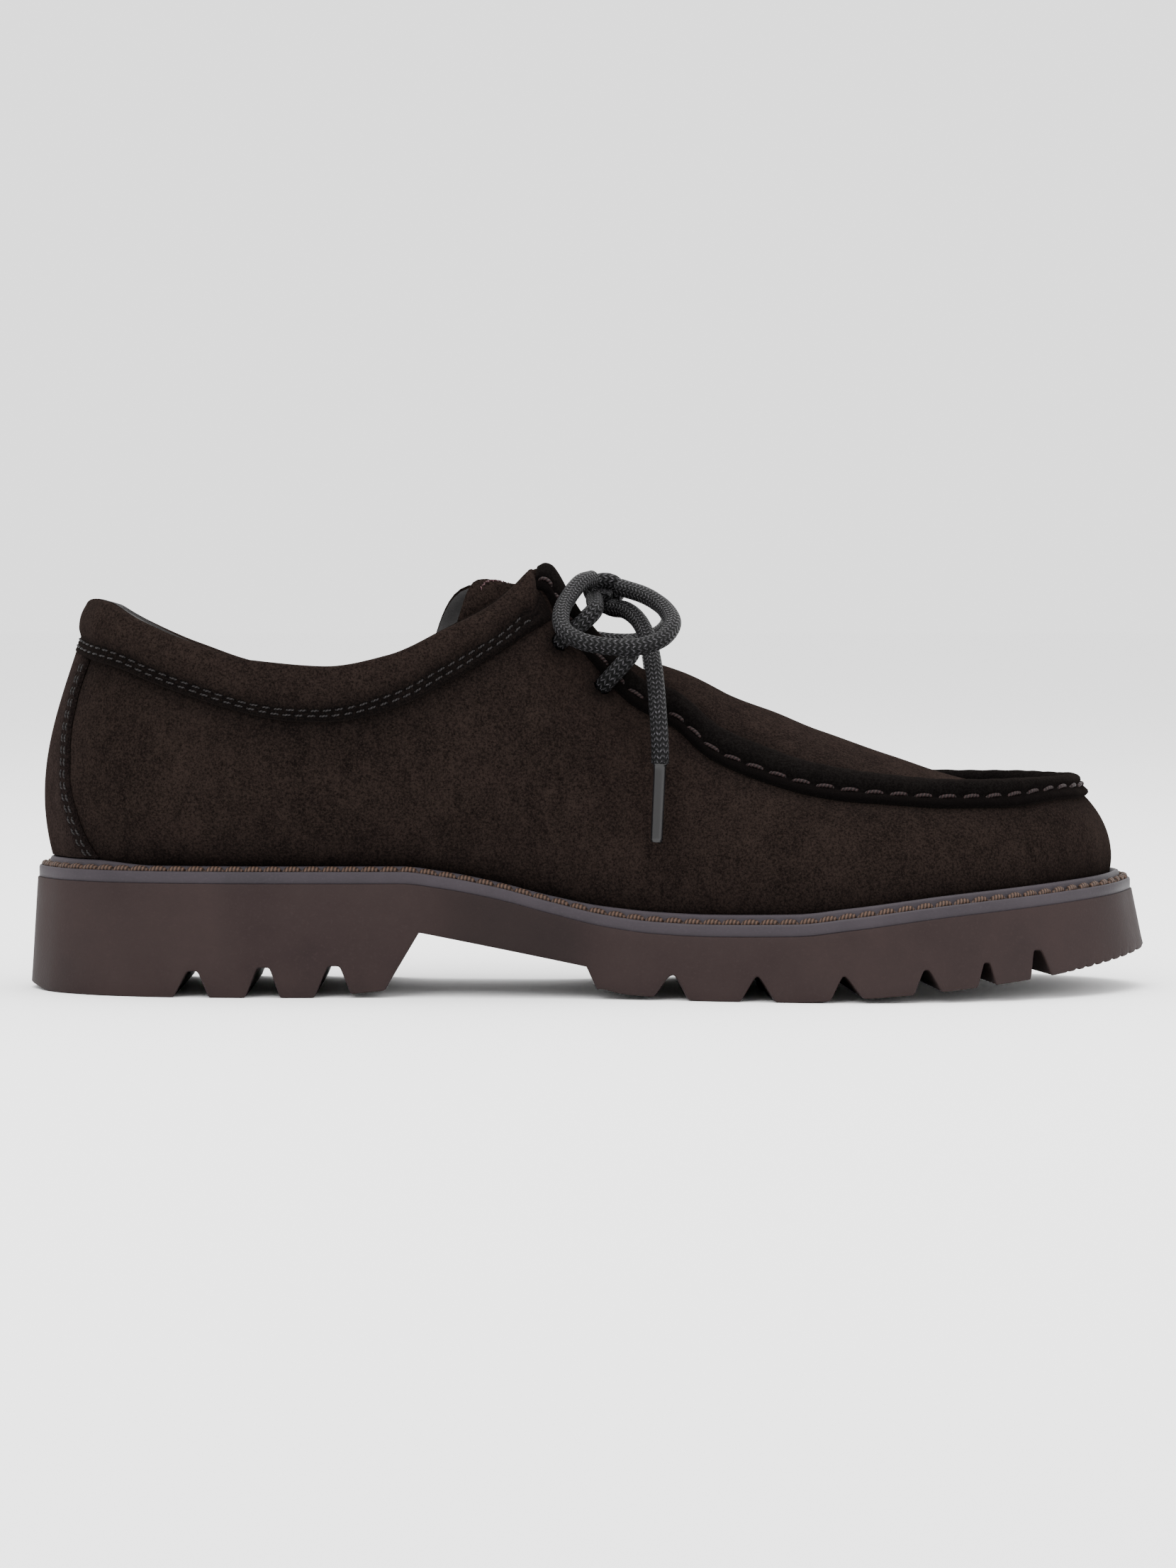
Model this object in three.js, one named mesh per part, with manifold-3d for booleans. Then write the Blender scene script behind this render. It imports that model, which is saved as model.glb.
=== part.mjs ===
// A lace-up shoe: a moccasin-toe derby on a lugged rubber sole, the right one of its pair.
// Millimetres. +X runs from heel to toe, +Y to the inner side of the foot, +Z up from the floor.
import * as THREE from 'three';
import { mergeVertices } from 'three/addons/utils/BufferGeometryUtils.js';
import Module from 'manifold-3d';

const wasm = await Module();
wasm.setup();

// Driving sizes
const shoeLength = 305; // outsole, heel to toe
const ballWidth = 112; // outsole, across the ball of the foot
const throatHeight = 115.6; // floor to the top of the facings
const heelHeight = 30.4; // floor to the top of the rubber at the heel
const clearance = 0.3; // between pieces that lie on each other

// Outsole
const soleFlare = 1.9; // how far the rubber's side leans in from floor to top
const toeSetback = 1.4; // what the toe leans in beyond that
const treadDepth = 3; // rubber modelled below the tread, then cut away
const breastRise = 2; // heel tread rises this much towards its breast
const treadSplay = 0.14; // slope across the sole of the foremost groove
const grooveRound = 1.1; // rounding at the top of a groove
const grooveEdge = 0.4; // where a groove's place is measured, a share of the ball width from the middle

// Welt and insole
const weltSetback = 0.4; // welt edge in from the top of the rubber
const weltThickness = 3;
const weltRound = 0.5;
const weltReach = 5.7; // welt edge to the upper
const beadWidth = 1.9;
const beadHeight = 1.6;
const beadDraft = 25; // degrees that the bead's faces lean
const beadTopShare = 0.75; // of the bead's width, where its top begins
const insoleThickness = 4;

// Upper and what lies on it
const upperWall = 2.2;
const medialDrop = 2.2; // inner side of the collar below the outer side
const tongueWall = 2;
const tongueSlack = 0.8; // further room between tongue and upper
const seamSlack = 0.15; // further room under the seam
const bandThickness = 1.5;
const stripThickness = 1.1;
const lipThickness = 1.3; // seam, at its lower edge
const rollThickness = 3.8; // seam, at its crest round the apron
const facingRoll = 2.2; // seam, at its crest along the throat
const lipDrop = 5; // seam's lower edge below its crest
const rollReach = 4; // seam's upper edge past its crest
const facingShift = 4.2; // how far the seam lies back along the throat edges
const facingLap = 0.15; // seam edge back from the cut edge of the facing
const laceHoleRadius = 2.6;

// Lace
const laceDiameter = 4.7;
const knotRadius = 4;
const knotLength = 5;
const knotAlong = 0.01475; // place of the knot, a share of the length from mid-shoe
const knotDrop = 7.2; // below the throat height
const tipGap = 0.6;
const tipDiameter = 3.3;
const tipLength = 21;

// Mesh fineness
const outlineSides = 96;
const stationSplit = 2;
const wallRows = 7;
const apronRows = 5;
const tongueCells = 12;
const tongueSteps = 12;
const bandSteps = 24;
const bandLowestRow = 4; // row of the wall from which the collar band may start
const stripStation = 4;
const laceSides = 10;
const tipSides = 8;

const smallest = 1e-3;
const farBehind = -0.6; // past the heel, a share of the length
const farAbove = 1.2; // past the top, a share of the throat height
const lastCrossing = 0.96; // how near the seam's edge comes to the middle of the apron at the toe

// Sole outline: a share of the length from the heel, and half widths as shares of the ball width.
const outlineRows = [
  { along: 0, lateral: 0, medial: 0 },
  { along: 0.02, lateral: 0.152, medial: 0.152 },
  { along: 0.05, lateral: 0.241, medial: 0.232 },
  { along: 0.1, lateral: 0.313, medial: 0.295 },
  { along: 0.18, lateral: 0.353, medial: 0.33 },
  { along: 0.28, lateral: 0.357, medial: 0.321 },
  { along: 0.38, lateral: 0.357, medial: 0.277 },
  { along: 0.46, lateral: 0.375, medial: 0.254 },
  { along: 0.55, lateral: 0.42, medial: 0.286 },
  { along: 0.64, lateral: 0.478, medial: 0.375 },
  { along: 0.7, lateral: 0.509, medial: 0.438 },
  { along: 0.76, lateral: 0.518, medial: 0.469 },
  { along: 0.82, lateral: 0.491, medial: 0.469 },
  { along: 0.88, lateral: 0.429, medial: 0.433 },
  { along: 0.93, lateral: 0.33, medial: 0.366 },
  { along: 0.97, lateral: 0.205, medial: 0.268 },
  { along: 0.99, lateral: 0.089, medial: 0.17 },
  { along: 1, lateral: -0.036, medial: 0.036 },
];

// Top of the rubber along the shoe: shares of the length from mid-shoe and of the heel height.
const rubberTopRows = [
  { along: -0.5, height: 1 },
  { along: -0.164, height: 1 },
  { along: -0.131, height: 0.962 },
  { along: -0.081, height: 0.868 },
  { along: -0.034, height: 0.745 },
  { along: 0.013, height: 0.635 },
  { along: 0.059, height: 0.577 },
  { along: 0.105, height: 0.56 },
  { along: 0.18, height: 0.572 },
  { along: 0.226, height: 0.625 },
  { along: 0.318, height: 0.74 },
  { along: 0.5, height: 0.888 },
];

// Underside of the forefoot, rocking up from the ball to the toe, in the same shares.
const rockerRows = [
  { along: -0.5, height: 0 },
  { along: 0.01, height: 0.09 },
  { along: 0.03, height: 0.05 },
  { along: 0.059, height: 0.028 },
  { along: 0.105, height: 0 },
  { along: 0.18, height: 0 },
  { along: 0.217, height: 0.025 },
  { along: 0.29, height: 0.078 },
  { along: 0.348, height: 0.138 },
  { along: 0.42, height: 0.225 },
  { along: 0.5, height: 0.36 },
];

// Corners of the hollow under the waist, from heel breast to ball, in the same shares.
const breastFoot = { along: -0.178, height: breastRise / heelHeight };
const breastTop = { along: -0.148, height: 0.572 };
const waistFront = { along: -0.0015, height: 0.283 };
const ballStep = { along: 0.0072, height: 0.095 };
const heelFlatEnd = -0.24;

// Grooves across the tread: centre along the length, mouth, crown, crown's shift and rise in mm.
const grooveRows = [
  { along: -0.348, mouth: 9.6, crown: 3.1, shift: 0.3, rise: 6.8, splay: 0 },
  { along: -0.285, mouth: 9.4, crown: 3.5, shift: 0.2, rise: 7.8, splay: 0 },
  { along: -0.223, mouth: 10.2, crown: 3.4, shift: 0.1, rise: 8.2, splay: 0 },
  { along: 0.071, mouth: 9.1, crown: 1.8, shift: 0.6, rise: 5.9, splay: 0.2 },
  { along: 0.1457, mouth: 9.2, crown: 1.2, shift: -0.1, rise: 6.6, splay: 0.35 },
  { along: 0.2215, mouth: 8.7, crown: 1.2, shift: -0.8, rise: 6.1, splay: 0.5 },
  { along: 0.2915, mouth: 7.7, crown: 1.7, shift: -0.5, rise: 6.1, splay: 0.65 },
  { along: 0.344, mouth: 5.2, crown: 1.8, shift: 0, rise: 6, splay: 0.8 },
  { along: 0.396, mouth: 6.6, crown: 2.5, shift: -1, rise: 7, splay: 1 },
];

// Top edge of the upper from the back seam to the toe. Places are shares of the shoe's length, ball
// width and throat height. bulge and lean are the wall's angles from upright at its foot and top, in
// degrees. crown is the rise of the apron over the edge, and bridge the tongue's, as height shares.
const edgeRows = [
  { along: -0.439, lateral: 0, medial: 0, height: 0.919, bulge: 17, lean: 16, crown: 0, bridge: 0.3 },
  { along: -0.428, lateral: 0.125, medial: 0.121, height: 0.915, bulge: 18, lean: 15, crown: 0, bridge: 0.3 },
  { along: -0.398, lateral: 0.214, medial: 0.205, height: 0.874, bulge: 21, lean: 13, crown: 0, bridge: 0.3 },
  { along: -0.354, lateral: 0.263, medial: 0.25, height: 0.823, bulge: 24, lean: 10, crown: 0, bridge: 0.3 },
  { along: -0.295, lateral: 0.29, medial: 0.272, height: 0.776, bulge: 25, lean: 8, crown: 0, bridge: 0.3 },
  { along: -0.231, lateral: 0.304, medial: 0.281, height: 0.763, bulge: 24, lean: 8, crown: 0, bridge: 0.3 },
  { along: -0.1765, lateral: 0.295, medial: 0.277, height: 0.79, bulge: 22, lean: 12, crown: 0, bridge: 0.3 },
  { along: -0.129, lateral: 0.25, medial: 0.241, height: 0.848, bulge: 20, lean: 20, crown: 0, bridge: 0.3 },
  { along: -0.0873, lateral: 0.179, medial: 0.179, height: 0.908, bulge: 18, lean: 32, crown: 0, bridge: 0.14 },
  { along: -0.05, lateral: 0.105, medial: 0.105, height: 0.977, bulge: 16, lean: 42, crown: 0, bridge: -0.006 },
  { along: -0.04, lateral: 0.1, medial: 0.1, height: 0.979, bulge: 15, lean: 46, crown: 0, bridge: 0.002 },
  { along: -0.0066, lateral: 0.103, medial: 0.103, height: 0.876, bulge: 13, lean: 50, crown: 0, bridge: 0.022 },
  { along: 0.026, lateral: 0.116, medial: 0.116, height: 0.777, bulge: 12, lean: 52, crown: 0, bridge: 0.038 },
  { along: 0.0535, lateral: 0.143, medial: 0.143, height: 0.7, bulge: 11, lean: 54, crown: 0.068, bridge: 0.068 },
  { along: 0.082, lateral: 0.192, medial: 0.188, height: 0.644, bulge: 10, lean: 55, crown: 0.096, bridge: 0.096 },
  { along: 0.111, lateral: 0.232, medial: 0.228, height: 0.577, bulge: 10, lean: 56, crown: 0.122, bridge: 0.122 },
  { along: 0.151, lateral: 0.268, medial: 0.259, height: 0.532, bulge: 10, lean: 58, crown: 0.124, bridge: 0.124 },
  { along: 0.197, lateral: 0.295, medial: 0.277, height: 0.495, bulge: 10, lean: 60, crown: 0.111, bridge: 0.111 },
  { along: 0.256, lateral: 0.304, medial: 0.281, height: 0.474, bulge: 10, lean: 60, crown: 0.077, bridge: 0.077 },
  { along: 0.315, lateral: 0.29, medial: 0.277, height: 0.466, bulge: 10, lean: 58, crown: 0.034, bridge: 0.034 },
  { along: 0.367, lateral: 0.241, medial: 0.259, height: 0.468, bulge: 11, lean: 56, crown: 0.002, bridge: 0.002 },
  { along: 0.407, lateral: 0.161, medial: 0.21, height: 0.47, bulge: 12, lean: 54, crown: -0.012, bridge: 0 },
  { along: 0.43, lateral: 0.071, medial: 0.129, height: 0.47, bulge: 12, lean: 50, crown: -0.007, bridge: 0 },
  { along: 0.439, lateral: -0.027, medial: 0.027, height: 0.47, bulge: 12, lean: 50, crown: 0, bridge: 0 },
];
const facingTopStation = 10;
const apronStation = 13;
const tongueFrontStation = 15.5;
const handleShare = 0.38; // fullness of the wall's curve
const crownLead = 0.12; // how far the middle of the apron lies ahead of its edges

// Back end of the tongue, as stations, from its middle to the foot of its wings.
const tongueEnds = [
  { across: 0, station: 9.3 },
  { across: 0.3, station: 8.6 },
  { across: 0.45, station: 7.6 },
  { across: 0.6, station: 7.3 },
  { across: 1, station: 7.1 },
];
const tongueEdge = 0.6; // where the tongue passes the upper's edge
const tongueWingDrop = 0.24; // how far its wings reach down the wall
const farCornerShift = 0.6;
const farCornerDrop = 5; // how far its inner corner hangs below the outer one

// Lower edge of the collar band in side view, shares of length and throat height.
const bandRows = [
  { along: -0.464, height: 0.797 },
  { along: -0.444, height: 0.779 },
  { along: -0.413, height: 0.758 },
  { along: -0.382, height: 0.725 },
  { along: -0.352, height: 0.697 },
  { along: -0.322, height: 0.672 },
  { along: -0.288, height: 0.649 },
  { along: -0.262, height: 0.638 },
  { along: -0.23, height: 0.636 },
  { along: -0.205, height: 0.643 },
  { along: -0.169, height: 0.669 },
  { along: -0.1205, height: 0.73 },
  { along: -0.0315, height: 0.873 },
];
const bandFront = { along: -0.0585, height: 0.959 };
const bandFrontTop = { along: -0.082, height: 1.05 };

// Front edge of the heel strip in side view, in the same shares.
const stripRows = [
  { along: -0.426, height: 0.23 },
  { along: -0.4287, height: 0.297 },
  { along: -0.4407, height: 0.349 },
  { along: -0.4505, height: 0.408 },
  { along: -0.4585, height: 0.502 },
  { along: -0.4585, height: 0.58 },
  { along: -0.452, height: 0.69 },
  { along: -0.4407, height: 0.779 },
  { along: -0.433, height: 0.85 },
];

// Lace holes in side view, in the same shares.
const upperHole = { along: -0.025, height: 0.819 };
const lowerHole = { along: 0.013, height: 0.717 };
const strandSpot = { along: -0.0085, height: 0.857 };
const barSpot = { along: 0.026, height: 0.753 };
const barRise = 3; // rise of the lace bar in the middle of the throat

// A smooth value out of a table, without overshoot between its rows. Round ends start and stop level.
function readTable(rows, key, at, column = 'along', roundEnds = false) {
  const last = rows.length - 1;
  if (at <= rows[0][column]) return rows[0][key];
  if (at >= rows[last][column]) return rows[last][key];
  let i = 0;
  while (rows[i + 1][column] < at) i += 1;
  const slope = (n) => (rows[n + 1][key] - rows[n][key]) / (rows[n + 1][column] - rows[n][column]);
  const knotSlope = (n) => {
    if (n === 0) return roundEnds ? 0 : slope(0);
    if (n === last) return roundEnds ? 0 : slope(last - 1);
    const before = slope(n - 1);
    const after = slope(n);
    return before * after <= 0 ? 0 : (2 * before * after) / (before + after);
  };
  const span = rows[i + 1][column] - rows[i][column];
  const t = (at - rows[i][column]) / span;
  const rise = t * t * (3 - 2 * t);
  return (
    rows[i][key] * (1 - rise) +
    rows[i + 1][key] * rise +
    span * t * (1 - t) * (knotSlope(i) * (1 - t) - knotSlope(i + 1) * t)
  );
}

const rubberTop = (x) => heelHeight * readTable(rubberTopRows, 'height', x / shoeLength);
const rocker = (x) => heelHeight * readTable(rockerRows, 'height', x / shoeLength);
const toeShare = (x) => THREE.MathUtils.smoothstep(x / shoeLength, 0.2, 0.5);
const sidePoint = ({ along, height }, tall) => new THREE.Vector2(along * shoeLength, height * tall);

// Closed plan outline of the sole, from the heel along the outer side to the toe and back.
function outlineCurve() {
  const place = (row, width) =>
    new THREE.Vector3((row.along - 0.5) * shoeLength, width * ballWidth, 0);
  const outer = outlineRows.map((row) => place(row, -row.lateral));
  const inner = outlineRows.slice(1, -1).reverse().map((row) => place(row, row.medial));
  const tip = place(outlineRows[outlineRows.length - 1], outlineRows[outlineRows.length - 1].medial);
  return new THREE.CatmullRomCurve3([...outer.slice(0, -1), tip, ...inner], true, 'centripetal');
}

const outline = outlineCurve();

function outlinePlaces(sides) {
  const places = [];
  for (let i = 0; i < sides; i += 1) {
    const ahead = outline.getTangentAt(i / sides);
    places.push({ point: outline.getPointAt(i / sides), inward: new THREE.Vector3(-ahead.y, ahead.x, 0) });
  }
  return places;
}

const ringPlaces = outlinePlaces(outlineSides);

// A ring of points round the outline, inset from it, at a height that follows the shoe's length.
function ring(inset, heightAt, places = ringPlaces) {
  return places.map(({ point, inward }) => {
    const moved = point.clone().addScaledVector(inward, inset + toeSetback * toeShare(point.x));
    moved.z = heightAt(moved.x);
    return moved;
  });
}

function geometryOf(points, faces) {
  const geometry = new THREE.BufferGeometry();
  geometry.setAttribute('position', new THREE.Float32BufferAttribute(points.flatMap((p) => [p.x, p.y, p.z]), 3));
  geometry.setIndex(faces.flat());
  return geometry;
}

// A solid lofted through rings from its underside to its top, closed by strips across the shoe.
function loft(rings) {
  const sides = rings[0].length;
  const faces = [];
  const at = (row, i) => row * sides + (i % sides);
  for (let row = 0; row + 1 < rings.length; row += 1) {
    for (let i = 0; i < sides; i += 1) {
      faces.push([at(row, i), at(row, i + 1), at(row + 1, i + 1)]);
      faces.push([at(row, i), at(row + 1, i + 1), at(row + 1, i)]);
    }
  }
  const cap = (row, up) => {
    const add = (a, b, c) => faces.push(up ? [at(row, a), at(row, b), at(row, c)] : [at(row, c), at(row, b), at(row, a)]);
    const half = sides / 2;
    add(0, 1, sides - 1);
    for (let i = 1; i < half - 1; i += 1) {
      add(i, i + 1, sides - i);
      add(i + 1, sides - i - 1, sides - i);
    }
    add(half - 1, half, half + 1);
  };
  cap(0, false);
  cap(rings.length - 1, true);
  return geometryOf(rings.flat(), faces);
}

// Solids for joining and cutting.
function solidOf(geometry) {
  const bare = geometry.clone();
  bare.deleteAttribute('normal');
  bare.deleteAttribute('uv');
  const merged = mergeVertices(bare, smallest);
  return new wasm.Manifold(
    new wasm.Mesh({
      numProp: 3,
      vertProperties: new Float32Array(merged.attributes.position.array),
      triVerts: new Uint32Array(merged.index.array),
    }),
  );
}

function geometryFrom(solid) {
  const mesh = solid.getMesh();
  const geometry = new THREE.BufferGeometry();
  geometry.setAttribute('position', new THREE.BufferAttribute(new Float32Array(mesh.vertProperties), 3));
  geometry.setIndex([...mesh.triVerts]);
  return geometry;
}

// A shape in side view, as a solid that crosses the whole shoe.
function sideSlab(points) {
  const geometry = new THREE.ExtrudeGeometry(new THREE.Shape(points), {
    depth: 2 * ballWidth,
    bevelEnabled: false,
  });
  geometry.translate(0, 0, -ballWidth);
  geometry.rotateX(Math.PI / 2);
  return solidOf(geometry);
}

// Everything below the tread, from behind the heel to past the toe.
function underTread() {
  const reach = -farBehind * shoeLength;
  const floor = -2 * treadDepth;
  const points = [new THREE.Vector2(-reach, floor), new THREE.Vector2(-reach, 0)];
  points.push(new THREE.Vector2(heelFlatEnd * shoeLength, 0));
  for (const corner of [breastFoot, breastTop, waistFront, ballStep]) points.push(sidePoint(corner, heelHeight));
  const steps = 20;
  const start = ballStep.along;
  for (let i = 1; i <= steps; i += 1) {
    const along = start + ((0.5 - start) * i) / steps;
    points.push(new THREE.Vector2(along * shoeLength, rocker(along * shoeLength)));
  }
  points.push(new THREE.Vector2(reach, rocker(reach)), new THREE.Vector2(reach, floor));
  return sideSlab(points.reverse());
}

// One groove, cut in from one side to the middle and sloping back towards it.
function groove(row, side) {
  const middle = row.along * shoeLength;
  const base = rocker(middle);
  const top = base + row.rise;
  const crown = middle + row.shift;
  const flare = (row.mouth - row.crown) / 2 / row.rise;
  const mouth = row.mouth / 2 + flare * treadDepth;
  const shoulder = row.crown / 2 + flare * grooveRound;
  const shape = new THREE.Shape();
  shape.moveTo(middle - mouth, base - treadDepth);
  shape.lineTo(middle + mouth, base - treadDepth);
  shape.lineTo(crown + shoulder, top - grooveRound);
  shape.quadraticCurveTo(crown, top + grooveRound, crown - shoulder, top - grooveRound);
  const geometry = new THREE.ExtrudeGeometry(shape, { depth: ballWidth, bevelEnabled: false, curveSegments: 4 });
  geometry.rotateX(Math.PI / 2);
  geometry.translate(0, side < 0 ? clearance : ballWidth - clearance, 0);
  const slope = treadSplay * row.splay;
  const position = geometry.attributes.position;
  for (let i = 0; i < position.count; i += 1) {
    position.setX(i, position.getX(i) + slope * (Math.abs(position.getY(i)) - grooveEdge * ballWidth));
  }
  return solidOf(geometry);
}

function outsole() {
  const depth = (x) => rubberTop(x) - rocker(x);
  const low = ringPlaces.map(({ point, inward }) => {
    const flare = soleFlare + toeSetback * toeShare(point.x);
    const moved = point.clone().addScaledVector(inward, (-flare * treadDepth) / depth(point.x));
    moved.z = rocker(point.x) * (point.x > 0 ? 1 : 0) - treadDepth;
    return moved;
  });
  let solid = solidOf(loft([low, ring(soleFlare, rubberTop)]));
  solid = solid.subtract(underTread());
  for (const row of grooveRows) {
    for (const side of [-1, 1]) solid = solid.subtract(groove(row, side));
  }
  return geometryFrom(solid);
}

// The welt with its bead, on the rubber.
const weltInset = soleFlare + weltSetback;
const upperInset = weltInset + weltReach;
const beadLean = Math.tan(THREE.MathUtils.degToRad(beadDraft)) * beadHeight;

function welt() {
  const above = (height) => (x) => rubberTop(x) + clearance + height;
  const beadInner = upperInset - clearance;
  return loft([
    ring(weltInset, above(0)),
    ring(weltInset, above(weltThickness - weltRound)),
    ring(weltInset + weltRound, above(weltThickness)),
    ring(beadInner - beadLean - beadWidth, above(weltThickness)),
    ring(beadInner - beadLean - beadTopShare * beadWidth, above(weltThickness + beadHeight)),
    ring(beadInner - beadLean, above(weltThickness + beadHeight)),
    ring(beadInner, above(weltThickness)),
  ]);
}

const seatHeight = (x) => rubberTop(x) + weltThickness + 2 * clearance;

function insole() {
  const inset = upperInset + upperWall + 3 * clearance;
  return loft([ring(inset, seatHeight), ring(inset, (x) => seatHeight(x) + insoleThickness)]);
}

// Columns of the upper: foot on the welt, top edge, and the angles between them.
const footSides = 4 * outlineSides;
const footRing = ring(upperInset, seatHeight, outlinePlaces(footSides));

function nearestFoot(place, side) {
  const half = footSides / 2;
  let best = 0;
  let least = Infinity;
  for (let i = 0; i <= half; i += 1) {
    const foot = footRing[side < 0 ? i : (footSides - i) % footSides];
    const far = Math.hypot(foot.x - place.x, foot.y - place.y);
    if (far < least) {
      least = far;
      best = i;
    }
  }
  return best;
}

const stationRows = (side) =>
  edgeRows.map((row, station) => {
    const place = {
      x: row.along * shoeLength,
      y: (side < 0 ? -row.lateral : row.medial) * ballWidth,
    };
    const last = edgeRows.length - 1;
    let foot = nearestFoot(place, side);
    if (station === 0) foot = 0;
    if (station === last) foot = footSides / 2;
    const drop = side > 0 && station < facingTopStation - 1 ? Math.sin((Math.PI * station) / (facingTopStation - 1)) : 0;
    return { ...row, station, foot, x: place.x, y: place.y, z: row.height * throatHeight - medialDrop * drop };
  });
const stations = { '-1': stationRows(-1), 1: stationRows(1) };
const lastStation = edgeRows.length - 1;

// Foot, top edge and directions of the wall at a station, which may lie between two rows.
function column(station, side) {
  const rows = stations[side];
  const read = (key) => readTable(rows, key, station, 'station', key !== 'y' && key !== 'foot');
  const foot = read('foot');
  const low = Math.floor(foot);
  const index = (n) => (side < 0 ? n : footSides - n) % footSides;
  const a = footRing[index(low)];
  const b = footRing[index(Math.min(low + 1, footSides / 2))];
  const base = a.clone().lerp(b, foot - low);
  const ahead = outline.getTangentAt((side < 0 ? foot : footSides - foot) / footSides % 1);
  const out = new THREE.Vector3(ahead.y, -ahead.x, 0);
  const top = new THREE.Vector3(read('x'), read('y'), read('z'));
  const reach = top.distanceTo(base);
  const bulge = THREE.MathUtils.degToRad(read('bulge'));
  const lean = THREE.MathUtils.degToRad(read('lean'));
  const handle = handleShare * reach;
  const lower = base.clone().addScaledVector(out, handle * Math.sin(bulge));
  lower.z += handle * Math.cos(bulge);
  const high = top.clone().addScaledVector(out, handle * Math.sin(lean));
  high.z -= handle * Math.cos(lean);
  return { station, side, top, reach, crown: read('crown') * throatHeight, bridge: read('bridge') * throatHeight,
    curve: new THREE.CubicBezierCurve3(base, lower, high, top) };
}

// A point of the sheet between the two top edges: the apron, and the tongue over the open throat.
function across(station, side, share, rise) {
  const near = column(station, side);
  const far = column(station, -side);
  const middle = near.top.clone().lerp(far.top, 0.5);
  const halfWidth = near.top.distanceTo(far.top) / 2;
  const point = near.top.clone().lerp(middle, share);
  point.x += crownLead * halfWidth * share;
  point.z += rise(near) * (1 - (1 - share) ** 2);
  return point;
}

const apronRise = (place) => place.crown;
const bridgeRise = (place) => place.bridge;

// A sheet: points and faces, with points that coincide merged and faces without area dropped.
class Sheet {
  points = [];
  faces = [];
  known = new Map();

  point(place) {
    const key = [place.x, place.y, place.z].map((n) => Math.round(n / smallest)).join();
    if (!this.known.has(key)) {
      this.known.set(key, this.points.length);
      this.points.push(place);
    }
    return this.known.get(key);
  }

  // A grid of places, whose rows run outwards-facing round the shoe and up.
  grid(rows) {
    const ids = rows.map((row) => row.map((place) => this.point(place)));
    for (let r = 0; r + 1 < ids.length; r += 1) {
      for (let c = 0; c + 1 < ids[r].length; c += 1) {
        this.face(ids[r][c], ids[r][c + 1], ids[r + 1][c + 1]);
        this.face(ids[r][c], ids[r + 1][c + 1], ids[r + 1][c]);
      }
    }
  }

  face(a, b, c) {
    if (a !== b && b !== c && c !== a) this.faces.push([a, b, c]);
  }

  normals() {
    const normals = this.points.map(() => new THREE.Vector3());
    const u = new THREE.Vector3();
    const v = new THREE.Vector3();
    for (const face of this.faces) {
      u.subVectors(this.points[face[1]], this.points[face[0]]);
      v.subVectors(this.points[face[2]], this.points[face[0]]);
      const normal = u.clone().cross(v);
      for (const id of face) normals[id].add(normal);
    }
    return normals.map((normal) => normal.normalize());
  }

  // The closed solid between two distances along the sheet's normals.
  thicken(outer, inner) {
    const normals = this.normals();
    const distance = (value, place) => (typeof value === 'function' ? value(place) : value);
    const shift = (value) => this.points.map((p, i) => p.clone().addScaledVector(normals[i], distance(value, p)));
    const count = this.points.length;
    const faces = [...this.faces];
    const edges = new Set(this.faces.flatMap(([a, b, c]) => [`${a},${b}`, `${b},${c}`, `${c},${a}`]));
    for (const [a, b, c] of this.faces) faces.push([c + count, b + count, a + count]);
    for (const edge of edges) {
      const [a, b] = edge.split(',').map(Number);
      if (edges.has(`${b},${a}`)) continue;
      faces.push([b, a, a + count], [b, a + count, b + count]);
    }
    return geometryOf([...shift(outer), ...shift(inner)], faces);
  }
}

// Stations round the shoe: outer side from heel to toe, then the inner side back.
function roundStations(from, split = stationSplit) {
  const list = [];
  for (let n = from * split; n < lastStation * split; n += 1) list.push({ station: n / split, side: -1 });
  for (let n = lastStation * split; n >= from * split; n -= 1) list.push({ station: n / split, side: 1 });
  return list;
}

// Stations round the heel: from the inner side to the back seam and on to the outer side.
function heelStations(to) {
  const list = [];
  for (let n = to * stationSplit; n > 0; n -= 1) list.push({ station: n / stationSplit, side: 1 });
  for (let n = 0; n <= to * stationSplit; n += 1) list.push({ station: n / stationSplit, side: -1 });
  return list;
}

function wallGrid(places, lowestRow = 0) {
  const curves = places.map(({ station, side }) => column(station, side).curve);
  const grid = [];
  for (let r = lowestRow; r <= wallRows; r += 1) grid.push(curves.map((curve) => curve.getPoint(r / wallRows)));
  return grid;
}

function upper() {
  const sheet = new Sheet();
  sheet.grid(wallGrid(roundStations(0)));
  const places = roundStations(apronStation);
  const rows = [];
  for (let r = 0; r <= apronRows; r += 1) {
    rows.push(places.map(({ station, side }) => across(station, side, r / apronRows, apronRise)));
  }
  sheet.grid(rows);
  let solid = solidOf(sheet.thicken(0, -upperWall));
  for (const hole of [upperHole, lowerHole]) {
    for (const side of [-1, 1]) solid = solid.subtract(holePunch(hole, side));
  }
  return geometryFrom(solid);
}

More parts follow.
